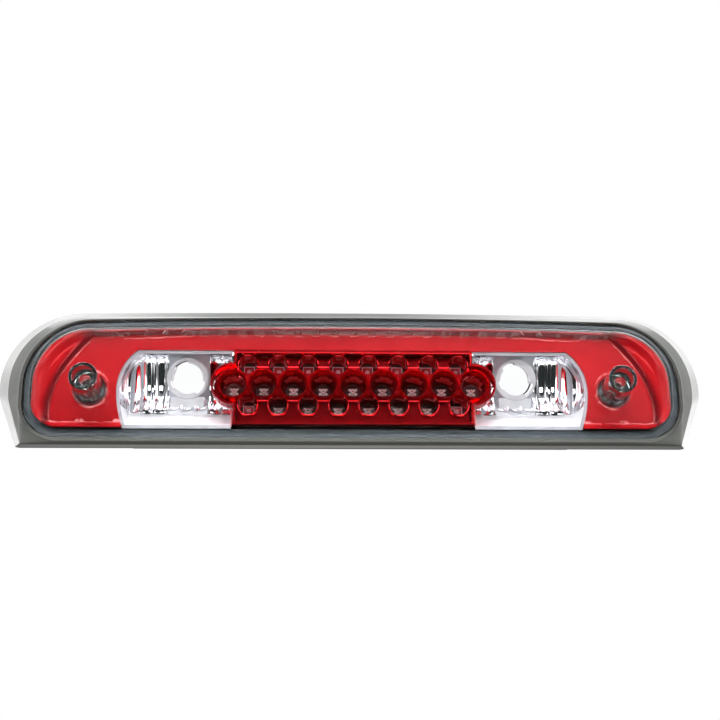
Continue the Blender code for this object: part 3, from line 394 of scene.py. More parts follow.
def add_piece(name, shape, key, slot_name, *replaced, angle=SHARP_ANGLE):
    """A piece in one go: mesh, material and the nodes it stands for."""
    settle(make_mesh(name, shape, mats[key], angle), slot_name, *replaced)


def apply_modifiers(obj):
    """Replace an object's mesh by the one its modifiers give."""
    graph = bpy.context.evaluated_depsgraph_get()
    mesh = bpy.data.meshes.new_from_object(obj.evaluated_get(graph))
    obj.modifiers.clear()
    obj.data = mesh


def boolean(obj, operation, shape):
    """Cut or join a shape drawn in millimetres."""
    finish = obj.data.materials[0]
    tool = make_mesh("tool", shape, finish)
    modifier = obj.modifiers.new("cut", "BOOLEAN")
    modifier.operation = operation
    modifier.solver = "EXACT"
    modifier.object = tool
    apply_modifiers(obj)
    obj.data.materials.clear()
    obj.data.materials.append(finish)
    smooth(obj.data)
    bpy.data.objects.remove(tool)


def ring_faces(count, rows, loop=False, caps=True):
    """Faces between rings of equal length."""
    faces = []
    pairs = [(r, r + 1) for r in range(rows - 1)]
    if loop:
        pairs.append((rows - 1, 0))
    for a, b in pairs:
        for i in range(count):
            j = (i + 1) % count
            faces.append((a * count + i, a * count + j, b * count + j, b * count + i))
    if caps and not loop:
        faces.append(tuple(range(count))[::-1])
        faces.append(tuple((rows - 1) * count + i for i in range(count)))
    return faces


def loft(rings, loop=False):
    """Vertices and faces through rings of points."""
    return [tuple(p) for ring in rings for p in ring], ring_faces(len(rings[0]), len(rings), loop)


def box(x0, x1, z0, z1, ys):
    """Vertices and faces of a box between two depths."""
    return loft([[(x0, y, z0), (x1, y, z0), (x1, y, z1), (x0, y, z1)] for y in ys])


def turned(profile, centre=(0, 0, 0), axis=(0, 1, 0), steps=48, loop=False, grow=lambda angle: 0.0):
    """A turned body from (radius, distance along the axis) points, wider by a function of the angle."""
    turn = Vector((0, 0, 1)).rotation_difference(Vector(axis)).to_matrix()
    angles = [math.tau * i / steps for i in range(steps)]
    rings = []
    for radius, along in profile:
        wide = [radius + grow(angle) for angle in angles]
        spots = [Vector((r * math.cos(angle), r * math.sin(angle), along)) for r, angle in zip(wide, angles)]
        rings.append([turn @ spot + Vector(centre) for spot in spots])
    return loft(rings, loop)


def merged(parts):
    """Several (vertices, faces) pairs as one."""
    verts, faces = [], []
    for v, f in parts:
        base = len(verts)
        verts += list(v)
        faces += [tuple(base + k for k in face) for face in f]
    return verts, faces


# ---- outlines

# Three right-hand corners from the bottom up, the radii that round them, and how far the top edge
# bows upwards at the middle.
Outline = namedtuple("Outline", "corners radii crown")
LENS = Outline(((209.2, -35.2), (209.6, -6.0), (209.6, 40.0)), (22.5, 30.0, 40.0), 3.9)
LIP = Outline(((212.4, -38.4), (212.8, -6.0), (212.8, 42.0)), (25.7, 30.0, 42.4), 3.5)
SKIRT_FRONT = Outline(((210.0, -39.8), (220.0, -9.7), (220.0, 46.0)), (1.5, 30.0, 47.0), 0.7)
SKIRT_BACK = Outline(((216.5, -37.6), (229.8, -3.0), (229.8, 53.5)), (1.8, 22.0, 51.0), 2.2)
CORNER_STEPS, EDGE_STEPS, LEAST_R = (14, 3, 24, 24, 3, 14), 28, 0.4
# The grid that fills a flat face: its row height and its clear room at lines, as shares of the spacing.
GRID_ROW, GRID_CLEAR, CDT_EPSILON = 0.87, 0.4, 1e-6


def rounded_corner(before, corner, after, radius, steps):
    """Points of the arc that rounds a corner."""
    corner = Vector(corner)
    to_before = (Vector(before) - corner).normalized()
    to_after = (Vector(after) - corner).normalized()
    half = to_before.angle(to_after) / 2
    centre = corner + (to_before + to_after).normalized() * radius / math.sin(half)
    start = corner + to_before * radius / math.tan(half) - centre
    end = corner + to_after * radius / math.tan(half) - centre
    first = math.atan2(start.y, start.x)
    sweep = math.remainder(math.atan2(end.y, end.x) - first, math.tau)
    angles = [first + sweep * i / steps for i in range(steps + 1)]
    return [(centre.x + radius * math.cos(a), centre.y + radius * math.sin(a)) for a in angles]


def shifted_corners(corners, inset):
    """A counter-clockwise polygon with every edge moved inwards."""
    moved = []
    count = len(corners)
    for i in range(count):
        here = Vector(corners[i])
        along_in = (here - Vector(corners[i - 1])).normalized()
        along_out = (Vector(corners[(i + 1) % count]) - here).normalized()
        normal_in = Vector((-along_in.y, along_in.x))
        normal_out = Vector((-along_out.y, along_out.x))
        bisector = (normal_in + normal_out).normalized()
        moved.append(tuple(here + bisector * inset / bisector.dot(normal_in)))
    return moved


def outline(shape, inset=0.0):
    """Points of a symmetric outline moved inwards, counter-clockwise from the bottom edge."""
    mirrored = tuple((-x, z) for x, z in reversed(shape.corners))
    corners = shifted_corners(shape.corners + mirrored, inset)
    arcs = []
    for i, (full, steps) in enumerate(zip(shape.radii + shape.radii[::-1], CORNER_STEPS)):
        after = corners[(i + 1) % len(corners)]
        arcs.append(rounded_corner(corners[i - 1], corners[i], after, max(full - inset, LEAST_R), steps))
    points = []
    for i, arc in enumerate(arcs):
        if i in (0, 3):
            # The straight bottom and top edges, which end at these corners.
            start, end = Vector(arcs[i - 1][-1]), Vector(arc[0])
            points += [tuple(start.lerp(end, k / EDGE_STEPS)) for k in range(1, EDGE_STEPS)]
        points += arc
    wide = max(x for x, _ in points)
    high = max(z for _, z in points)
    return [(x, z + shape.crown * max(z, 0.0) / high * (1 - (x / wide) ** 2)) for x, z in points]


def ring_at(shape, inset, y):
    """An outline as a ring of points at one depth."""
    return [(x, y, z) for x, z in outline(shape, inset)]


def swept(line, section):
    """A closed frame: a line, which is a function of an inset, carried round (inset, depth) points."""
    return loft([[(x, y, z) for x, z in line(inset)] for inset, y in section], loop=True)


def mixed_ring(shape_a, inset_a, shape_b, inset_b, share, y):
    """A ring between two outlines."""
    a, b = outline(shape_a, inset_a), outline(shape_b, inset_b)
    return [(p[0] + (q[0] - p[0]) * share, y, p[1] + (q[1] - p[1]) * share) for p, q in zip(a, b)]


def circle(x, z, radius, steps):
    """Points of a circle in X and Z."""
    turns = [math.tau * i / steps for i in range(steps)]
    return [(x + radius * math.cos(turn), z + radius * math.sin(turn)) for turn in turns]


def distances(points, loop):
    """Distance of many points from a closed line, as an array."""
    pts = np.asarray(points, float)
    starts = np.asarray(loop, float)
    best = np.full(len(pts), np.inf)
    for start, step in zip(starts, np.roll(starts, -1, axis=0) - starts):
        t = np.clip(((pts - start) @ step) / max(step @ step, 1e-9), 0, 1)
        best = np.minimum(best, np.hypot(*(pts - start - t[:, None] * step).T))
    return best


def insides(points, loop):
    """Whether each point lies in a closed line, as an array."""
    pts = np.asarray(points, float)
    hit = np.zeros(len(pts), bool)
    x, z = pts[:, 0], pts[:, 1]
    for (x0, z0), (x1, z1) in zip(loop, loop[1:] + loop[:1]):
        if z0 != z1:
            hit ^= ((z0 > z) != (z1 > z)) & (x < x0 + (z - z0) * (x1 - x0) / (z1 - z0))
    return hit


def filled(edge, holes, spacing, extra=()):
    """Triangles over the inside of a closed line, less its holes, through extra points."""
    loops = [list(edge)] + [list(hole) for hole in holes]
    points, lines = [], []
    for loop in loops:
        base = len(points)
        points += loop
        lines += [(base + i, base + (i + 1) % len(loop)) for i in range(len(loop))]

    def within(spots):
        good = insides(spots, loops[0])
        for hole in loops[1:]:
            good &= ~insides(spots, hole)
        return good

    low, high = np.min(edge, axis=0), np.max(edge, axis=0)
    columns, rows = (int(span / size) for span, size in zip(high - low, (spacing, spacing * GRID_ROW)))
    grid = []
    for j in range(1, rows):
        for i in range(1, columns):
            grid.append((low[0] + (high[0] - low[0]) * (i + 0.5 * (j % 2)) / columns,
                         low[1] + (high[1] - low[1]) * j / rows))
    grid = np.array(list(extra) + grid)
    near = np.min([distances(grid, loop) for loop in loops], axis=0)
    points += [tuple(p) for p in grid[within(grid) & (near > spacing * GRID_CLEAR)]]
    found = delaunay_2d_cdt([Vector(p) for p in points], lines, [], 1, CDT_EPSILON)
    spots = [tuple(v) for v in found[0]]
    faces = [tuple(f) for f in found[2]]
    middles = [tuple(np.mean([spots[k] for k in f], axis=0)) for f in faces]
    return spots, [f for f, good in zip(faces, within(middles)) if good]


def sheet_shell(spots, faces, front, back):
    """A closed shell between two depth functions over a flat triangulation."""
    pts = np.array(spots)
    count = len(spots)
    verts = [(x, y, z) for depth in (front, back) for (x, z), y in zip(spots, depth(pts))]
    out = [tuple(f) for f in faces] + [tuple(count + k for k in reversed(f)) for f in faces]
    directed = set()
    for f in faces:
        directed.update(zip(f, f[1:] + f[:1]))
    for a, b in directed:
        if (b, a) not in directed:
            out.append((b, a, count + a, count + b))
    return verts, out


# ---- housing and seals

FRAME_INSET, WALL, RIM_FLAT, LIP_GAP = 6.5, 2.5, 6.0, 0.6
SKIRT_BACK_Y, SKIRT_FRONT_Y, LIP_Y, CHANNEL_Y = -4.3, -22.0, -24.8, -19.5
FRAME_BACK_Y, PAN_FRONT_Y, PAN_BACK_Y = -17.2, -14.5, -12.0
SKIRT_SHARES = (0.2, 0.4, 0.6, 0.8)
BULB_TILT = math.radians(17.0)
BULB_AXIS = Vector((0.0, math.cos(BULB_TILT), math.sin(BULB_TILT)))
BULB_SEAT = Vector((109.0, 8.0, 13.3))
BULB_HOLE_R, COLLAR_R, COLLAR_LONG = 10.0, 13.8, 7.0
# Each notch of a bulb hole: the angle of its middle and half its width in degrees, and its depth.
NOTCHES, NOTCH_EASE = ((35, 28, 1.9), (160, 18, 1.3), (245, 28, 1.9)), 0.08
SEAT_RING = ((13.6, 0.0), (13.4, 0.9), (12.4, 1.1), (11.8, 0.9), (11.6, 0.0))
TUB_X, TUB_LOW, TUB_HIGH, TUB_BACK_OFFSET, TUB_R = 156.0, -30.0, 34.5, 6.2, 9.0
# The tub's draw at its back edge and, past the rounding, on its back wall.
EDGE_SHARE_X, EDGE_ROUND, BACK_SHARE_X, BACK_SHARE_Z, BACK_LEVEL = 0.985, 1.2, 0.977, 0.965, 0.97
PITCH = 19.4
SCREW_BOSS = ((9.5, -17.8), (9.5, -1.0), (9.0, -0.5))
RIB_START, RIB_FOOT, RIB_TOP, RIB_HALF, RIB_FRONT_Y, RIB_BACK_Y = 8.5, 15.0, 9.6, 0.7, -12.6, -4.0
LUG_SPOTS = ((161.0, 15.5), (161.0, -21.5))
LUG_PIN_R, LUG_HOLE_R, POST_R, VENT_R, GLAND_R, GLAND_Z = 3.6, 1.5, 3.2, 3.3, 6.3, -12.0
BOARD_SPOTS = tuple((sx * PITCH * 3, sz * 14.0) for sz in (1, -1) for sx in (-1, 1))

seal = node_centre("screw_seal_right")
SCREW_X, SCREW_Z = seal.x, seal.z
gland = node_centre("cable_grommet")
vent = node_centre("vent_plug_right")


def rod(radius, ends, x, z, steps=24):
    """A round rod along Y."""
    return turned([(radius, y) for y in ends], (x, 0, z), steps=steps)


def bulb_seat(side):
    """The middle of a bulb hole in the tub's back."""
    return Vector((side * BULB_SEAT.x, BULB_SEAT.y, BULB_SEAT.z))


def tub_back_y(z, beyond):
    """Depth of a plane square to the bulb axis, a distance beyond the bulb seat."""
    return BULB_SEAT.y + (beyond - (z - BULB_SEAT.z) * BULB_AXIS.z) / BULB_AXIS.y


def tub(inset, y_front, beyond, steps=8):
    """The tub, drawn in at the rounded edge of its sloped back."""
    corners = ((TUB_X, TUB_LOW), (TUB_X, TUB_HIGH), (-TUB_X, TUB_HIGH), (-TUB_X, TUB_LOW))
    corners = shifted_corners(corners, inset)
    flat = []
    for i in range(4):
        flat += rounded_corner(corners[i - 1], corners[i], corners[(i + 1) % 4], TUB_R - inset, steps)
    front = [(x, y_front, z) for x, z in flat]
    back_edge = [(x * EDGE_SHARE_X, tub_back_y(z, beyond) - EDGE_ROUND, z) for x, z in flat]
    back = [(x * BACK_SHARE_X, tub_back_y(z * BACK_LEVEL, beyond), z * BACK_SHARE_Z) for x, z in flat]
    return loft((front, back_edge, back))


def notch(angle):
    """Depth of a bulb hole's notches at an angle."""
    depths = []
    for middle, half, deep in NOTCHES:
        off = abs(math.remainder(angle - math.radians(middle), math.tau))
        depths.append(deep * held((math.radians(half) - off) / NOTCH_EASE))
    return max(depths)


def bulb_key(side, radius, front, back):
    """The twist-lock bulb hole as a cutter: a round bore with three wide notches."""
    return turned(((radius, front), (radius, back)), bulb_seat(side), BULB_AXIS, steps=96, grow=notch)


def skirt():
    """The skirt with its lip, the channel for the lens foot, and the frame round the pan."""
    back, front = SKIRT_BACK_Y - 0.6, SKIRT_FRONT_Y + 0.4
    rings = [ring_at(SKIRT_BACK, 0.5, SKIRT_BACK_Y), ring_at(SKIRT_BACK, 0.0, back)]
    for share in SKIRT_SHARES:
        rings.append(mixed_ring(SKIRT_BACK, 0.0, SKIRT_FRONT, 0.0, share, back + (front - back) * share))
    rings += [ring_at(SKIRT_FRONT, 0.0, front), ring_at(SKIRT_FRONT, 0.25, SKIRT_FRONT_Y - 0.1),
              mixed_ring(SKIRT_FRONT, 0.25, LIP, 0.0, 0.85, LIP_Y + 0.5)]
    inner = FRAME_INSET - WALL
    for row in ((LIP, 0.0, LIP_Y + 0.25), (LIP, 0.3, LIP_Y), (LENS, -LIP_GAP - 0.3, LIP_Y),
                (LENS, -LIP_GAP, LIP_Y + 0.3), (LENS, -LIP_GAP, CHANNEL_Y), (LENS, FRAME_INSET, CHANNEL_Y),
                (LENS, FRAME_INSET, PAN_FRONT_Y + 1.0), (LENS, inner, PAN_BACK_Y - 0.8),
                (LENS, inner, FRAME_BACK_Y), (SKIRT_FRONT, WALL, FRAME_BACK_Y),
                (SKIRT_BACK, RIM_FLAT, SKIRT_BACK_Y)):
        rings.append(ring_at(*row))
    return loft(rings, loop=True)


def boss_rib(side, turn):
    """One of the four ribs between a screw boss and the pan."""
    angle = math.radians(45 + 90 * turn)
    reach = Vector((math.cos(angle), 0, math.sin(angle)))
    wide = Vector((-math.sin(angle), 0, math.cos(angle))) * RIB_HALF
    base = Vector((side * SCREW_X, 0, SCREW_Z))
    rings = []
    for far, y in ((RIB_FOOT, RIB_FRONT_Y), (RIB_TOP, RIB_BACK_Y)):
        corners = (base + reach * RIB_START + wide, base + reach * RIB_START - wide,
                   base + reach * far - wide, base + reach * far + wide)
        rings.append([(p.x, y, p.z) for p in corners])
    return loft(rings)


def make_housing():
    """The grey housing: skirt, lip, channel, pan, tub, bosses and posts."""
    housing = make_mesh("housing_body", skirt(), mats["housing_grey"])
    bosses, ribs, holes = [], [], []
    for side, _ in SIDES:
        bosses.append(turned(SCREW_BOSS, (side * SCREW_X, 0, SCREW_Z)))
        bosses += [rod(LUG_PIN_R, (-16.9, -12.4), side * x, z) for x, z in LUG_SPOTS]
        ribs += [boss_rib(side, turn) for turn in range(4)]
        holes.append(bulb_key(side, BULB_HOLE_R + 0.4, -4.0, 20.0))
        holes.append(rod(SCREW_HOLE_R, (-30.0, 10.0), side * SCREW_X, SCREW_Z, 32))
        holes.append(rod(VENT_R, (-20.0, 10.0), side * vent.x, vent.z))
        holes += [rod(LUG_HOLE_R, (-30.0, -13.0), side * x, z, 16) for x, z in LUG_SPOTS]
    spot = (gland.x, tub_back_y(GLAND_Z, TUB_BACK_OFFSET), GLAND_Z)
    holes.append(turned(((GLAND_R, -8.0), (GLAND_R, 12.0)), spot, BULB_AXIS, steps=32))
    posts = [rod(POST_R, (-0.8, tub_back_y(z, TUB_BACK_OFFSET - 1.6)), x, z) for x, z in BOARD_SPOTS]
    boolean(housing, "UNION", loft([ring_at(LENS, FRAME_INSET - 1.3, y) for y in (PAN_FRONT_Y, PAN_BACK_Y)]))
    boolean(housing, "UNION", tub(0.0, PAN_FRONT_Y + 0.7, TUB_BACK_OFFSET))
    boolean(housing, "UNION", merged(bosses))
    boolean(housing, "UNION", merged(ribs))
    boolean(housing, "DIFFERENCE", tub(WALL, PAN_FRONT_Y - 3.0, TUB_BACK_OFFSET - WALL))
    boolean(housing, "UNION", merged(posts))
    boolean(housing, "DIFFERENCE", merged(holes))
    settle(housing, "housing_grey", "housing")


def make_seat_ring(side, word):
    """A raised ring round a socket hole on the tub's back."""
    centre = bulb_seat(side) + BULB_AXIS * (TUB_BACK_OFFSET + 0.05)
    add_piece(f"socket_seat_ring_{word}", turned(SEAT_RING, centre, BULB_AXIS, loop=True),
              "housing_grey", "housing_grey")


def make_gasket():
    """The foam ring with rounded edges."""
    flat = RIM_FLAT - 0.7
    section = ((1.2, 0.0), (0.9, -0.4), (0.9, -3.7), (1.2, -4.0), (flat, -4.0), (flat + 0.3, -3.7),
               (flat + 0.3, -0.4), (flat, 0.0))
    ring = swept(partial(outline, SKIRT_BACK), section)
    add_piece("rear_gasket_foam", ring, "foam_black", "foam_black", "rear_gasket")


def make_sealant():
    """The dark bead under the lens foot."""
    section = ((0.1, -19.8), (0.1, -21.9), (5.2, -21.9), (5.2, -19.8))
    ring = swept(partial(outline, LENS), section)
    add_piece("lens_sealant_bead", ring, "sealant_dark", "sealant_dark", "lens_sealant")


# ---- outer lens

LENS_FOOT_Y, LENS_THICK, LENS_TURN, RIM_WIDE = -22.2, 2.4, 20.0, 5.2
LENS_PATH = ((0.0, -25.1), (0.5, -25.8), (2.2, -26.4), (3.1, -28.6), (3.8, -31.5), (6.2, -36.5), (9.5, -41.0),
             (14.0, -45.0))
LENS_RINGS, LENS_GRID = (0.0, 2.0, 4.0, 6.5), 6.0
LENS_FRONT_Y, LENS_MID_Z, LENS_HALF_HIGH, LENS_BOW_X, LENS_BOW_Z = -50.9, 2.0, 38.0, 2.0, 5.0
TUBE_R, COUNTERBORE_R, SCREW_HOLE_R = 8.95, 6.85, 3.5
TUBE_FRONT_Y, COUNTERBORE_Y, TUBE_BACK_Y = -49.6, -42.0, -19.9


def lens_front_y(x, z):
    """Depth of the lens's crowned front."""
    across, up = x / SCREW_X, (z - LENS_MID_Z) / LENS_HALF_HIGH
    return LENS_FRONT_Y + LENS_BOW_X * across ** 2 + LENS_BOW_Z * up ** 2


def smooth_path(points, steps):
    """A Catmull-Rom line through 2-D points."""
    pts = [Vector(p) for p in points]
    pts = [pts[0] * 2 - pts[1]] + pts + [pts[-1] * 2 - pts[-2]]
    out = []
    for i in range(1, len(pts) - 2):
        a, b, c, d = pts[i - 1:i + 3]
        for k in range(steps):
            t = k / steps
            out.append(0.5 * (2 * b + (c - a) * t + (2 * a - 5 * b + 4 * c - d) * t ** 2
                              + (3 * b - a - 3 * c + d) * t ** 3))
    out.append(pts[-2])
    return [tuple(p) for p in out]


def lens_face(grow, bulge, thick):
    """Rings over the lens's turned edge and onto its crowned front."""
    last_inset, last_y = LENS_PATH[-1]
    turn = outline(LENS, (LENS_TURN + last_inset) / 2 + grow)
    rings = [[(x, (lens_front_y(x, z) + last_y) / 2 + bulge, z) for x, z in turn]]
    for inset in LENS_RINGS:
        rings.append([(x, lens_front_y(x, z) + thick, z) for x, z in outline(LENS, LENS_TURN + grow + inset)])
    return rings


def make_screw_tube(side, word):
    """A clear tube with its counterbore and screw hole."""
    front, step = TUBE_FRONT_Y, COUNTERBORE_Y
    section = ((TUBE_R - 0.5, TUBE_BACK_Y), (TUBE_R, TUBE_BACK_Y - 0.5), (TUBE_R, front + 0.3),
               (TUBE_R - 0.3, front), (COUNTERBORE_R + 0.3, front), (COUNTERBORE_R, front + 0.3),
               (COUNTERBORE_R, step), (SCREW_HOLE_R + 0.4, step), (SCREW_HOLE_R, step + 0.4),
               (SCREW_HOLE_R, TUBE_BACK_Y))
    tube = turned(section, (side * SCREW_X, 0, SCREW_Z), steps=64, loop=True)
    add_piece(f"screw_tube_{word}", tube, "tube_clear", "lens_clear", "outer_lens")


def make_outer_lens():
    """The clear cover with its two screw tubes."""
    wall = smooth_path(LENS_PATH, 3)
    outer = [ring_at(LENS, inset, y) for inset, y in wall] + lens_face(0.0, -0.4, 0.0)
    inner = [ring_at(LENS, RIM_WIDE, LENS_FOOT_Y), ring_at(LENS, RIM_WIDE, -26.0)]
    inner += [ring_at(LENS, inset + LENS_THICK, y + 1.3) for inset, y in wall if y < -29]
    inner += lens_face(1.0, 1.6, LENS_THICK)
    rings = inner[::-1] + [ring_at(LENS, 0.0, LENS_FOOT_Y)] + outer
    parts = [([p for ring in rings for p in ring], ring_faces(len(rings[0]), len(rings), caps=False))]
    for ring, thick in ((outer[-1], 0.0), (inner[-1], LENS_THICK)):
        spots, faces = filled([(x, z) for x, _, z in ring], [], LENS_GRID)
        parts.append(([(x, lens_front_y(x, z) + thick, z) for x, z in spots], faces))
    lens = make_mesh("outer_lens_clear", merged(parts), mats["lens_clear"])
    for side, word in SIDES:
        make_screw_tube(side, word)
    bores = [rod(TUBE_R + 0.02, (-10.0, -60.0), side * SCREW_X, SCREW_Z, 64) for side, _ in SIDES]
    boolean(lens, "DIFFERENCE", merged(bores))
    settle(lens, "lens_clear", "outer_lens")


# ---- red bezel

FIELD_Y, BEZEL_INSET, BEZEL_THICK, TUBE_CLEAR = -23.0, 5.9, 1.6, 0.55
RIM_RISE, RIM_REACH, RIM_EASE = 3.0, 3.4, 1.7
SLOPE_RISE, SLOPE_POWER, SLOPE_WAVE, SLOPE_WAVES, SLOPE_EASE = 4.6, 0.8, 0.55, 9.0, 1.2
# The embossed ring round a tube and the groove inside it: radius, height and width.
RING, GROOVE = (11.6, 0.30, 0.55), (10.3, 0.25, 0.5)
# Where the bezel's triangles follow its shape: from its edge, round the tubes and at the sloped ends.
FINE_INSETS = (0.85, 1.7, 2.15, 2.6, 3.05, 3.5, 4.2)
FINE_RADII = (10.3, 11.0, 11.6, 12.2, 13.0)
FINE_SHIFTS, FINE_HIGH, FINE_STEPS = (0.02, 0.6, 1.2), 34, 60
BEZEL_GRID, BEZEL_ANGLE, CIRCLE_STEPS = 2.4, 50, 48
WINDOW_X, WINDOW_TOP, WINDOW_LOW = 151.5, 23.0, -28.6
WINDOW_Z, WINDOW_HIGH_R, WINDOW_LOW_R = -3.0, 33.0, 68.0
BLOCK_X, BLOCK_TOP, BLOCK_LOW, EAR_R = 76.8, 22.7, -26.9, 14.0


def crescent_x(z):
    """X of the inner edge of the sloped end at a height."""
    up = np.maximum(z + CRESCENT_LOW, 0.0)
    return CRESCENT_X + CRESCENT_LEAN * up - CRESCENT_BOW * up ** 2


def bezel_front(rim):
    """Depth of the bezel's front over many points."""
    def bump(distance, middle, height, width):
        return height * np.exp(-((distance - middle) / width) ** 2)

    def depth(pts):
        near = distances(pts, rim)
        x, z = np.abs(pts[:, 0]), pts[:, 1]
        wall = np.clip((RIM_REACH - near) / RIM_EASE, 0.0, 1.0)
        rise = RIM_RISE * wall * wall * (3 - 2 * wall)
        reach = x - crescent_x(z)
        share = np.clip(reach / (reach + near + 0.01), 0.0, 1.0)
        slope = SLOPE_RISE * share ** SLOPE_POWER + SLOPE_WAVE * np.sin(share * SLOPE_WAVES)
        slope = np.clip(slope, 0, None) * np.clip(reach / SLOPE_EASE, 0, 1)
        rise = np.where(reach > 0, np.maximum(rise, slope), rise)
        away = np.hypot(x - SCREW_X, z - SCREW_Z)
        rise += bump(away, *RING) - bump(away, *GROOVE)
        return FIELD_Y - rise
    return depth


def window_side(inset=0.0, steps=14):
    """The curved outer edge of the right cargo window, from the bottom up to its top corner."""
    points = []
    for first, last, radius, count in ((WINDOW_LOW + inset, WINDOW_Z, WINDOW_LOW_R, steps),
                                       (WINDOW_Z, WINDOW_TOP - inset, WINDOW_HIGH_R, steps + 1)):
        for i in range(count):
            z = first + (last - first) * i / steps
            points.append((WINDOW_X - radius + math.sqrt((radius - inset) ** 2 - (z - WINDOW_Z) ** 2), z))
    return points


def bezel_edge(rim):
    """The bezel's outer edge, open at the bottom between the outer sides of the two windows."""
    low = min(z for _, z in rim)
    side = [(x, z) for x, z in window_side() if z > low + 0.4]
    foot = side[0][0] - 0.2
    start = next(i for i, (x, _) in enumerate(rim) if x > foot)
    loop = [(foot, low)]
    for x, z in rim[start:]:
        if x < -foot and z <= low + 0.02:
            break
        loop.append((x, z))
    return loop + [(-foot, low)] + [(-x, z) for x, z in side] + side[::-1]


def make_bezel():
    """The glossy red inner bezel."""
    rim = outline(LENS, BEZEL_INSET)
    holes = [circle(side * SCREW_X, SCREW_Z, TUBE_R + TUBE_CLEAR, CIRCLE_STEPS) for side, _ in SIDES]
    heights = np.linspace(-FINE_HIGH, FINE_HIGH, FINE_STEPS)
    extra = []
    for inset in FINE_INSETS:
        extra += outline(LENS, BEZEL_INSET + inset)
    for side, _ in SIDES:
        for radius in FINE_RADII:
            extra += circle(side * SCREW_X, SCREW_Z, radius, CIRCLE_STEPS)
        for shift in FINE_SHIFTS:
            extra += [(side * (crescent_x(z) + shift), z) for z in heights]
    spots, faces = filled(bezel_edge(rim), holes, BEZEL_GRID, extra)
    front = bezel_front(rim)
    shell = sheet_shell(spots, faces, front, lambda pts: front(pts) + BEZEL_THICK)
    add_piece("red_bezel_shell", shell, "bezel_red", "bezel_red", "red_bezel", angle=BEZEL_ANGLE)


# ---- cargo reflectors

REFLECTOR_Y, REFLECTOR_RIM, REFLECTOR_INNER_X, BOWL_THICK = -20.6, 1.9, 78.4, 1.2
FLUTE_PITCH, FLUTE_DEEP, FLUTE_STEPS, FLUTE_FADE = 9.2, 1.5, 12, 12.0
BOWL_END, BOWL_POWER, LEAST_DEEP, MERGE_BOWL = 19.0, 2.4, 0.02, 0.000005
END_STEPS, FLUTE_START = (0.0, 0.15, 0.4, 0.8, 1.3), 1.9
# The flutes lie between these heights, and go on as shallow ribs over the bowl's upper edge.
FLUTE_LOW, FLUTE_HIGH, RIB_LOW = -19.0, 25.5, 21.5
BOWL_PATH = ((REFLECTOR_Y, 21.1), (-12.0, 23.4), (-3.0, 25.2), (2.2, 24.0), (5.6, 18.5), (7.9, 11.0),
             (9.0, 3.5), (8.2, -3.5), (5.6, -9.6), (0.6, -14.4), (-6.0, -17.6), (-13.0, -21.6),
             (REFLECTOR_Y, -26.7))
RIM_SECTION = ((0, 0.6), (0, -0.45), (1, -0.6), (1, 0.6))
PEDESTAL_HALF, PEDESTAL_TOP, PEDESTAL_LOW = 10.6, 12.0, 20.6
LUG_HALF, LUG_YS = 3.4, (-18.8, -17.2)


def window_half(x, inset):
    """Top and bottom of the cargo window at a distance along the lamp."""
    reach = max(WINDOW_X - inset - x, 0.0)
    high_r, low_r = WINDOW_HIGH_R - inset, WINDOW_LOW_R - inset
    top = WINDOW_Z + math.sqrt(max(high_r ** 2 - (high_r - min(reach, high_r)) ** 2, 0.0))
    low = WINDOW_Z - math.sqrt(max(low_r ** 2 - (low_r - min(reach, low_r)) ** 2, 0.0))
    return min(top, WINDOW_TOP - inset), max(low, WINDOW_LOW + inset)


def bowl_row(side, x, path):
    """The bowl's section at a distance along the lamp."""
    full_top, full_low = WINDOW_TOP - REFLECTOR_RIM, WINDOW_LOW + REFLECTOR_RIM
    along = WINDOW_X - REFLECTOR_RIM - x
    top, low = window_half(x - 0.03, REFLECTOR_RIM)
    share = min(1.0, along / BOWL_END)
    deep = max(LEAST_DEEP, (1 - (1 - share) ** BOWL_POWER) ** (1 / BOWL_POWER))
    flute = along / FLUTE_PITCH % 1.0 - 0.5
    scallop = FLUTE_DEEP * (1 - 4 * flute * flute)
    row = []
    for y, z in path:
        level = held((z - full_low) / (full_top - full_low))
        into = (y - REFLECTOR_Y) * deep
        push = scallop * held(into / FLUTE_FADE) * held((z - FLUTE_LOW) / 6.0) * held((FLUTE_HIGH - z) / 3.0)
        rib = scallop * 0.7 * held((z - RIB_LOW) / 2.0) * held(into / 8.0)
        beyond = z - (full_low + (full_top - full_low) * level)
        row.append((side * x, REFLECTOR_Y + into - FLUTE_DEEP * min(1, into / FLUTE_FADE) * 0.5 + push,
                    low + (top - low) * level + beyond * deep + rib))
    return row


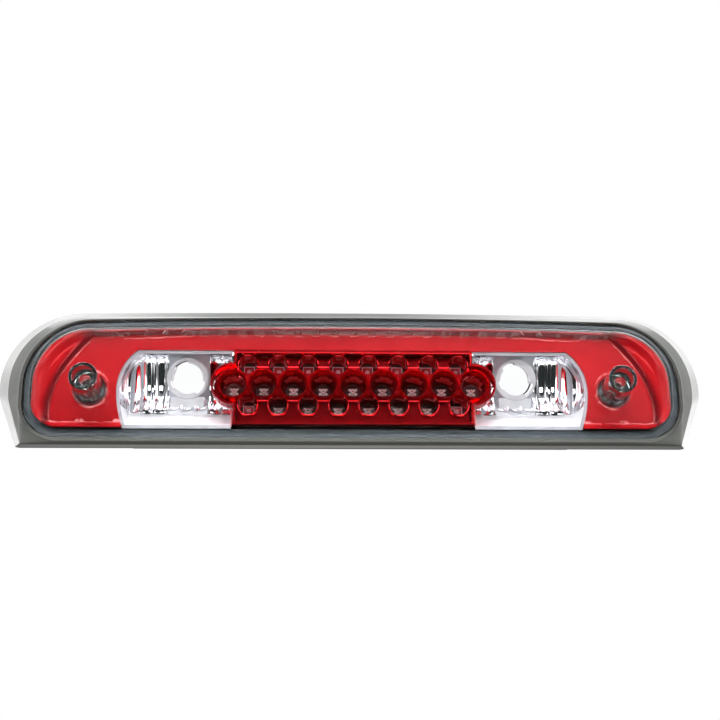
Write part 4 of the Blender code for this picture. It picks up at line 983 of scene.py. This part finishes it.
def make_bowl(side, word):
    """A fluted chrome bowl, cut open at its bulb hole and towards the stop-lamp block."""
    outer = WINDOW_X - REFLECTOR_RIM
    xs = [outer - gap for gap in END_STEPS]
    x = outer - FLUTE_START
    while x > REFLECTOR_INNER_X:
        xs.append(x)
        x -= FLUTE_PITCH / FLUTE_STEPS
    path = smooth_path(BOWL_PATH, 5)
    rows = [bowl_row(side, x, path) for x in xs + [REFLECTOR_INNER_X]]
    count = len(path)
    faces = []
    for r in range(len(rows) - 1):
        for i in range(count - 1):
            a = r * count + i
            faces.append((a, a + 1, a + count + 1, a + count))
    # The flat inner end.
    faces.append(tuple((len(rows) - 1) * count + i for i in range(count)))
    mesh = bpy.data.meshes.new("bowl")
    mesh.from_pydata([tuple(c * MM for c in spot) for row in rows for spot in row], [], faces)
    bm = bmesh.new()
    bm.from_mesh(mesh)
    bmesh.ops.remove_doubles(bm, verts=bm.verts, dist=MERGE_BOWL)
    bmesh.ops.recalc_face_normals(bm, faces=bm.faces)
    if max(bm.faces, key=lambda f: f.calc_center_median().y).normal.y < 0:
        bmesh.ops.reverse_faces(bm, faces=bm.faces)
    bm.to_mesh(mesh)
    bm.free()
    mesh.materials.append(mats["chrome"])
    bowl = add_object(f"cargo_reflector_bowl_{word}", mesh)
    skin = bowl.modifiers.new("thickness", "SOLIDIFY")
    skin.thickness = BOWL_THICK * MM
    skin.offset = 1.0
    skin.use_even_offset = False
    apply_modifiers(bowl)
    near, far = sorted((side * (REFLECTOR_INNER_X - 3.0), side * (REFLECTOR_INNER_X + 0.6)))
    end_hole = box(near, far, -15.2, 15.2, (-40.0, 0.6))
    boolean(bowl, "DIFFERENCE", merged([bulb_key(side, BULB_HOLE_R + 1.2, -30.0, 10.0), end_hole]))
    settle(bowl, "chrome", f"cargo_reflector_{word}")


def make_window_rim(side, word):
    """The flat rim round a bowl."""
    lines = []
    for inset in (REFLECTOR_RIM, -0.35):
        line = window_side(inset, 20)
        ends = [(REFLECTOR_INNER_X - 0.4, line[i][1]) for i in (0, -1)]
        lines.append([(side * x, z) for x, z in ends[:1] + line + ends[1:]])
    rings = []
    for pair in zip(*lines):
        rings.append([(pair[i][0], REFLECTOR_Y + rise, pair[i][1]) for i, rise in RIM_SECTION])
    add_piece(f"cargo_reflector_rim_{word}", loft(rings), "chrome_rim", "chrome", f"cargo_reflector_{word}")


def make_bulb_collar(side, word):
    """The keyed collar that the bulb's socket turns into."""
    front = -COLLAR_LONG
    section = ((COLLAR_R + 0.2, 1.0), (COLLAR_R, front + 0.6), (COLLAR_R - 0.6, front),
               (BULB_HOLE_R + 0.6, front), (BULB_HOLE_R, front + 0.6), (BULB_HOLE_R, 1.0))
    ring = turned(section, bulb_seat(side), BULB_AXIS, steps=72, loop=True)
    collar = make_mesh(f"bulb_collar_{word}", ring, mats["chrome_satin"])
    boolean(collar, "DIFFERENCE", bulb_key(side, BULB_HOLE_R, -20.0, 10.0))
    settle(collar, "chrome", f"cargo_reflector_{word}")


def make_pedestal(side, word):
    """The block under a bulb collar."""
    down = Vector((0, BULB_AXIS.z, -BULB_AXIS.y))
    front = bulb_seat(side) - BULB_AXIS * (COLLAR_LONG - 0.8)
    wide = Vector((PEDESTAL_HALF, 0, 0))
    rings = []
    for along in (0.0, COLLAR_LONG + 1.0):
        top, low = (front + BULB_AXIS * along + down * drop for drop in (PEDESTAL_TOP, PEDESTAL_LOW))
        rings.append([top - wide, top + wide, low + wide, low - wide])
    add_piece(f"bulb_pedestal_{word}", loft(rings), "chrome_satin", "chrome", f"cargo_reflector_{word}")


def make_lugs(side, word):
    """The two lugs that a reflector is screwed down by."""
    lugs = []
    for x, z in LUG_SPOTS:
        near, far = sorted((side * WINDOW_X, side * (x + LUG_HALF)))
        lugs.append(box(near, far, z - LUG_HALF, z + LUG_HALF, LUG_YS))
    add_piece(f"reflector_lugs_{word}", merged(lugs), "chrome", "chrome", f"cargo_reflector_{word}")


# ---- stop-lamp block

# A row of cups: its middle height, the radius and depth of their fronts, and their tilt in degrees.
Row = namedtuple("Row", "word count z radius front tilt")
CUPS = (Row("mid", 9, 0.0, 9.25, -26.0, 0.0), Row("top", 8, 13.6, 6.2, -22.5, 0.0),
        Row("low", 8, -13.2, 6.2, -22.0, 18.0))
CUP_BACK_R, CUP_BACK_Y, CUP_WALL = 5.2, -7.6, 0.55
WEB_Y, WEB_THICK, WEB_INSET, WEB_GRID = -17.0, 1.6, 2.0, 6.0
BAND_FRONT_Y, BAND_LOW, BAND_HIGH, BAND_HALF, BAND_WALL = -22.4, -11.0, 12.6, 74.6, 1.2
SHROUD_SECTION = ((0.0, -15.0), (0.0, -25.2), (0.35, -25.6), (1.15, -25.6), (1.5, -25.2), (1.5, -15.0))
EAR_TOP_RATIO = 1.45


def block_outline(inset, steps=36):
    """The stop-lamp block: a rectangle with a round ear around each end cup."""
    ear = EAR_R - inset
    x = BLOCK_X - inset
    reach = PITCH * 4
    spread = math.acos(max(-1.0, (x - reach) / ear))
    right = [(reach + ear * math.cos(a), ear * math.sin(a))
             for a in (-spread + 2 * spread * i / steps for i in range(steps + 1))]
    half = [(x, BLOCK_LOW + inset)] + right + [(x, BLOCK_TOP - inset * EAR_TOP_RATIO)]
    return half + [(-px, pz) for px, pz in reversed(half)]


def make_shroud():
    """The thin red frame round the stop-lamp block, with a rounded front edge."""
    ring = swept(block_outline, SHROUD_SECTION)
    add_piece("led_shroud_frame", ring, "chrome_red", "chrome_red", "led_shroud")


def cup_xs(row):
    """The places of a row's cups along the lamp."""
    return [PITCH * (i - (row.count - 1) / 2) for i in range(row.count)]


def cup_ring(x, row, radius, share, steps=40):
    """A ring round a cup; share runs from 0 at its front plane to 1 at its back."""
    lean = math.tan(math.radians(row.tilt)) * (1 - share)
    y = row.front + (CUP_BACK_Y - row.front) * share
    return [(px, y - lean * (pz - row.z), pz) for px, pz in circle(x, row.z, radius, steps)]


def cup_walls(x, row):
    """One tapered cup with a rounded front edge, closed between its inner and outer walls."""
    radius = row.radius
    middle = CUP_BACK_R + 0.5 * (radius - CUP_BACK_R)
    profile = ((CUP_BACK_R, 1.0), (middle, 0.52), (radius - 0.05, 0.02), (radius + CUP_WALL * 0.5, 0.0),
               (radius + CUP_WALL, 0.02), (middle + CUP_WALL, 0.52), (CUP_BACK_R + CUP_WALL, 1.0))
    return loft([cup_ring(x, row, r, share) for r, share in profile], loop=True)


def cup_core(x, row):
    """A cup's whole body, a little inside its outer wall, as a cutter for the band."""
    grow = CUP_WALL - 0.15
    profile = ((row.radius + grow, -0.3), (row.radius + grow, 0.0), (CUP_BACK_R + grow, 1.0))
    return loft([cup_ring(x, row, r, share) for r, share in profile])


def make_cups():
    """One cup for every LED or blank."""
    cups = []
    for row in CUPS:
        names = [name for name in nodes if name.startswith((f"stop_led_{row.word}", f"dummy_led_{row.word}"))]
        cups += [cup_walls(x, row) for x in sorted(node_centre(name).x for name in names)]
    add_piece("led_cups", merged(cups), "chrome_red", "chrome_red", "led_reflector")


def make_web():
    """The plate that joins the cups."""
    holes = []
    for row in CUPS:
        share = (WEB_Y - row.front) / (CUP_BACK_Y - row.front)
        radius = row.radius + (CUP_BACK_R - row.radius) * share + 0.2
        holes += [circle(x, row.z, radius, 32) for x in cup_xs(row)]
    spots, faces = filled(block_outline(WEB_INSET), holes, WEB_GRID)
    web = sheet_shell(spots, faces, *(lambda p, y=y: np.full(len(p), y) for y in (WEB_Y, WEB_Y + WEB_THICK)))
    add_piece("led_web", web, "chrome_red", "chrome_red", "led_reflector")


def make_band():
    """The raised band between the rows, cut away round the cups."""
    low, high, front, back = BAND_LOW, BAND_HIGH, BAND_FRONT_Y, WEB_Y + 0.4
    turn = [(front + 1.0 - math.cos(a), high - 1.0 + math.sin(a)) for a in np.radians((0, 22, 45, 68, 90))]
    section = [(back, low), (front + 0.6, low), (front, low + 0.6), *turn, (back, high),
               (back, high - BAND_WALL), (front + 1.3, high - BAND_WALL), (front + 1.3, low + BAND_WALL),
               (back, low + BAND_WALL)]
    band = loft([[(x, y, z) for y, z in section] for x in (-BAND_HALF, BAND_HALF)])
    band = make_mesh("led_band", band, mats["chrome_red"])
    cores = [cup_core(x, row) for row in CUPS for x in cup_xs(row)]
    for group in (cores[0::2], cores[1::2]):
        boolean(band, "DIFFERENCE", merged(group))
    settle(band, "chrome_red", "led_reflector")


# ---- LEDs and blank caps

# The LEDs' bodies and the caps stand on the board, behind the cups' open backs.
LED_BACK_Y, LED_Y, LED_HALF, LED_BEVEL, CAP_HALF = -3.0, -6.2, 3.75, 0.5, 3.6
DOME_R, DOME_HIGH, DOME_ANGLES = 2.8, 2.3, (15, 30, 45, 60, 75, 86)
CHIP_CUP = ((1.3, 0.2), (1.3, -0.5), (1.05, -0.55), (0.4, -0.1), (0.4, 0.2))
PLATE_ANGLES, PLATE_NEAR, PLATE_FAR, PLATE_HALF = (35, 145, 215, 325), 1.4, 3.3, 0.62
TEETH, TOOTH_HALF, TOOTH_TOP = ((-0.9, -2.2), (0.0, -2.4), (0.9, -2.2)), 0.27, -0.9
CAP_KNOB = ((1.5, -5.5), (1.5, -6.3), (1.2, -6.75), (0.6, -6.95))


def shared_mesh(name, key, shape, operation=None, tool=None):
    """A mesh for several pieces, drawn round the lamp's Y axis."""
    model = make_mesh(name, shape, mats[key])
    if tool:
        boolean(model, operation, tool)
    mesh = model.data
    bpy.data.objects.remove(model)
    return mesh


def led_body_mesh():
    """The clear body of a live LED, with its dome."""
    def square(y, size):
        cut = size - LED_BEVEL
        return [(-size, y, -cut), (-cut, y, -size), (cut, y, -size), (size, y, -cut),
                (size, y, cut), (cut, y, size), (-cut, y, size), (-size, y, cut)]
    body = loft([square(LED_BACK_Y, LED_HALF), square(LED_Y + 0.3, LED_HALF), square(LED_Y, LED_HALF - 0.3)])
    dome = [(DOME_R + 0.1, LED_Y + 0.2), (DOME_R, LED_Y - 0.5)]
    for a in np.radians(DOME_ANGLES):
        dome.append((DOME_R * math.cos(a), LED_Y - 0.5 - DOME_HIGH * math.sin(a)))
    return shared_mesh("led_model", "led_clear", body, "UNION", turned(dome, steps=32))


def led_chip_mesh():
    """A reflector cup, four contact plates and a row of lead teeth inside the clear body."""
    depths = (LED_Y - 0.4, LED_Y + 0.2)
    chips = [turned([(r, LED_Y + y) for r, y in CHIP_CUP], (0, 0, 0.5), steps=24, loop=True)]
    for angle in np.radians(PLATE_ANGLES):
        out = Vector((math.cos(angle), 0, math.sin(angle)))
        wide = Vector((-math.sin(angle), 0, math.cos(angle))) * PLATE_HALF
        near, far = out * PLATE_NEAR, out * PLATE_FAR
        corners = (near - wide, far - wide, far + wide, near + wide)
        chips.append(loft([[(p.x, y, p.z) for p in corners] for y in depths]))
    chips += [box(x - TOOTH_HALF, x + TOOTH_HALF, low, TOOTH_TOP, depths) for x, low in TEETH]
    return shared_mesh("chip_model", "chip_pale", merged(chips))


def cap_tile_mesh():
    """A blank cap with a round well."""
    tile = box(-CAP_HALF, CAP_HALF, -CAP_HALF, CAP_HALF, (LED_BACK_Y, LED_Y))
    return shared_mesh("tile_model", "cap_red", tile, "DIFFERENCE", rod(3.0, (-8.0, -5.6), 0, 0, 40))


def cap_edge_mesh():
    """A blank cap's square edge, and the knob in its well."""
    inner = CAP_HALF - 0.45
    rings = [[(-r, y, -r), (r, y, -r), (r, y, r), (-r, y, r)]
             for r, y in ((CAP_HALF, -6.15), (CAP_HALF, -6.45), (inner, -6.45), (inner, -6.15))]
    return shared_mesh("edge_model", "cap_edge", merged([loft(rings, loop=True), turned(CAP_KNOB, steps=28)]))


def make_leds():
    """Clear LEDs with their lead frames, and blank caps in the cups that hold none."""
    kinds = {"stop_led": ("led_clear", ("body", led_body_mesh()), ("chip", led_chip_mesh())),
             "dummy_led": ("cap_red", ("tile", cap_tile_mesh()), ("edge", cap_edge_mesh()))}
    for node in sorted(nodes):
        for start, (slot_name, *parts) in kinds.items():
            if not node.startswith(start):
                continue
            spot = node_centre(node)
            replaced = (node,)
            for word, mesh in parts:
                obj = add_object(f"{node}_{word}", mesh)
                obj.location = (spot.x * MM, 0.0, spot.z * MM)
                settle(obj, slot_name, *replaced)
                replaced = ()


# ---- carried-over nodes and stage

FLOOR_HALF, FLOOR_Z = 6.0, -0.62


def finish_nodes():
    """Procedural materials on every CAD node that is shown as it is."""
    for part in frame["record"]["subparts"]:
        slots = nodes[part["node"]].data.materials
        slots.clear()
        slots.append(mats[part["material_slot"]])


def make_stage():
    """A pale floor well below the lamp, which hangs on its mounting plane."""
    mesh = bpy.data.meshes.new("floor")
    corners = ((-1, -1), (1, -1), (1, 1), (-1, 1))
    mesh.from_pydata([(x * FLOOR_HALF, y * FLOOR_HALF, FLOOR_Z) for x, y in corners], [], [(0, 1, 2, 3)])
    add_finish("floor_pale", (0.84, 0.84, 0.84), (0.88, 0.88, 0.88), 1.5, (0.7, 0.7))
    mesh.materials.append(mats["floor_pale"])
    floor = add_object("floor", mesh)
    floor.visible_diffuse = False
    floor.visible_glossy = False
    floor.visible_transmission = False


def main():
    """Build every visible piece round the frame."""
    make_materials()
    make_camera()
    make_world()
    make_housing()
    for side, word in SIDES:
        make_seat_ring(side, word)
    make_gasket()
    make_sealant()
    make_outer_lens()
    make_bezel()
    for side, word in SIDES:
        for make in (make_bowl, make_window_rim, make_bulb_collar, make_pedestal, make_lugs):
            make(side, word)
    make_shroud()
    make_cups()
    make_web()
    make_band()
    make_leds()
    finish_nodes()
    make_stage()
    scene = bpy.context.scene
    scene.view_settings.view_transform = "Standard"
    scene.cycles.max_bounces = 16
    scene.cycles.transmission_bounces = 12
    scene.cycles.glossy_bounces = 6
    scene.cycles.transparent_max_bounces = 12


main()
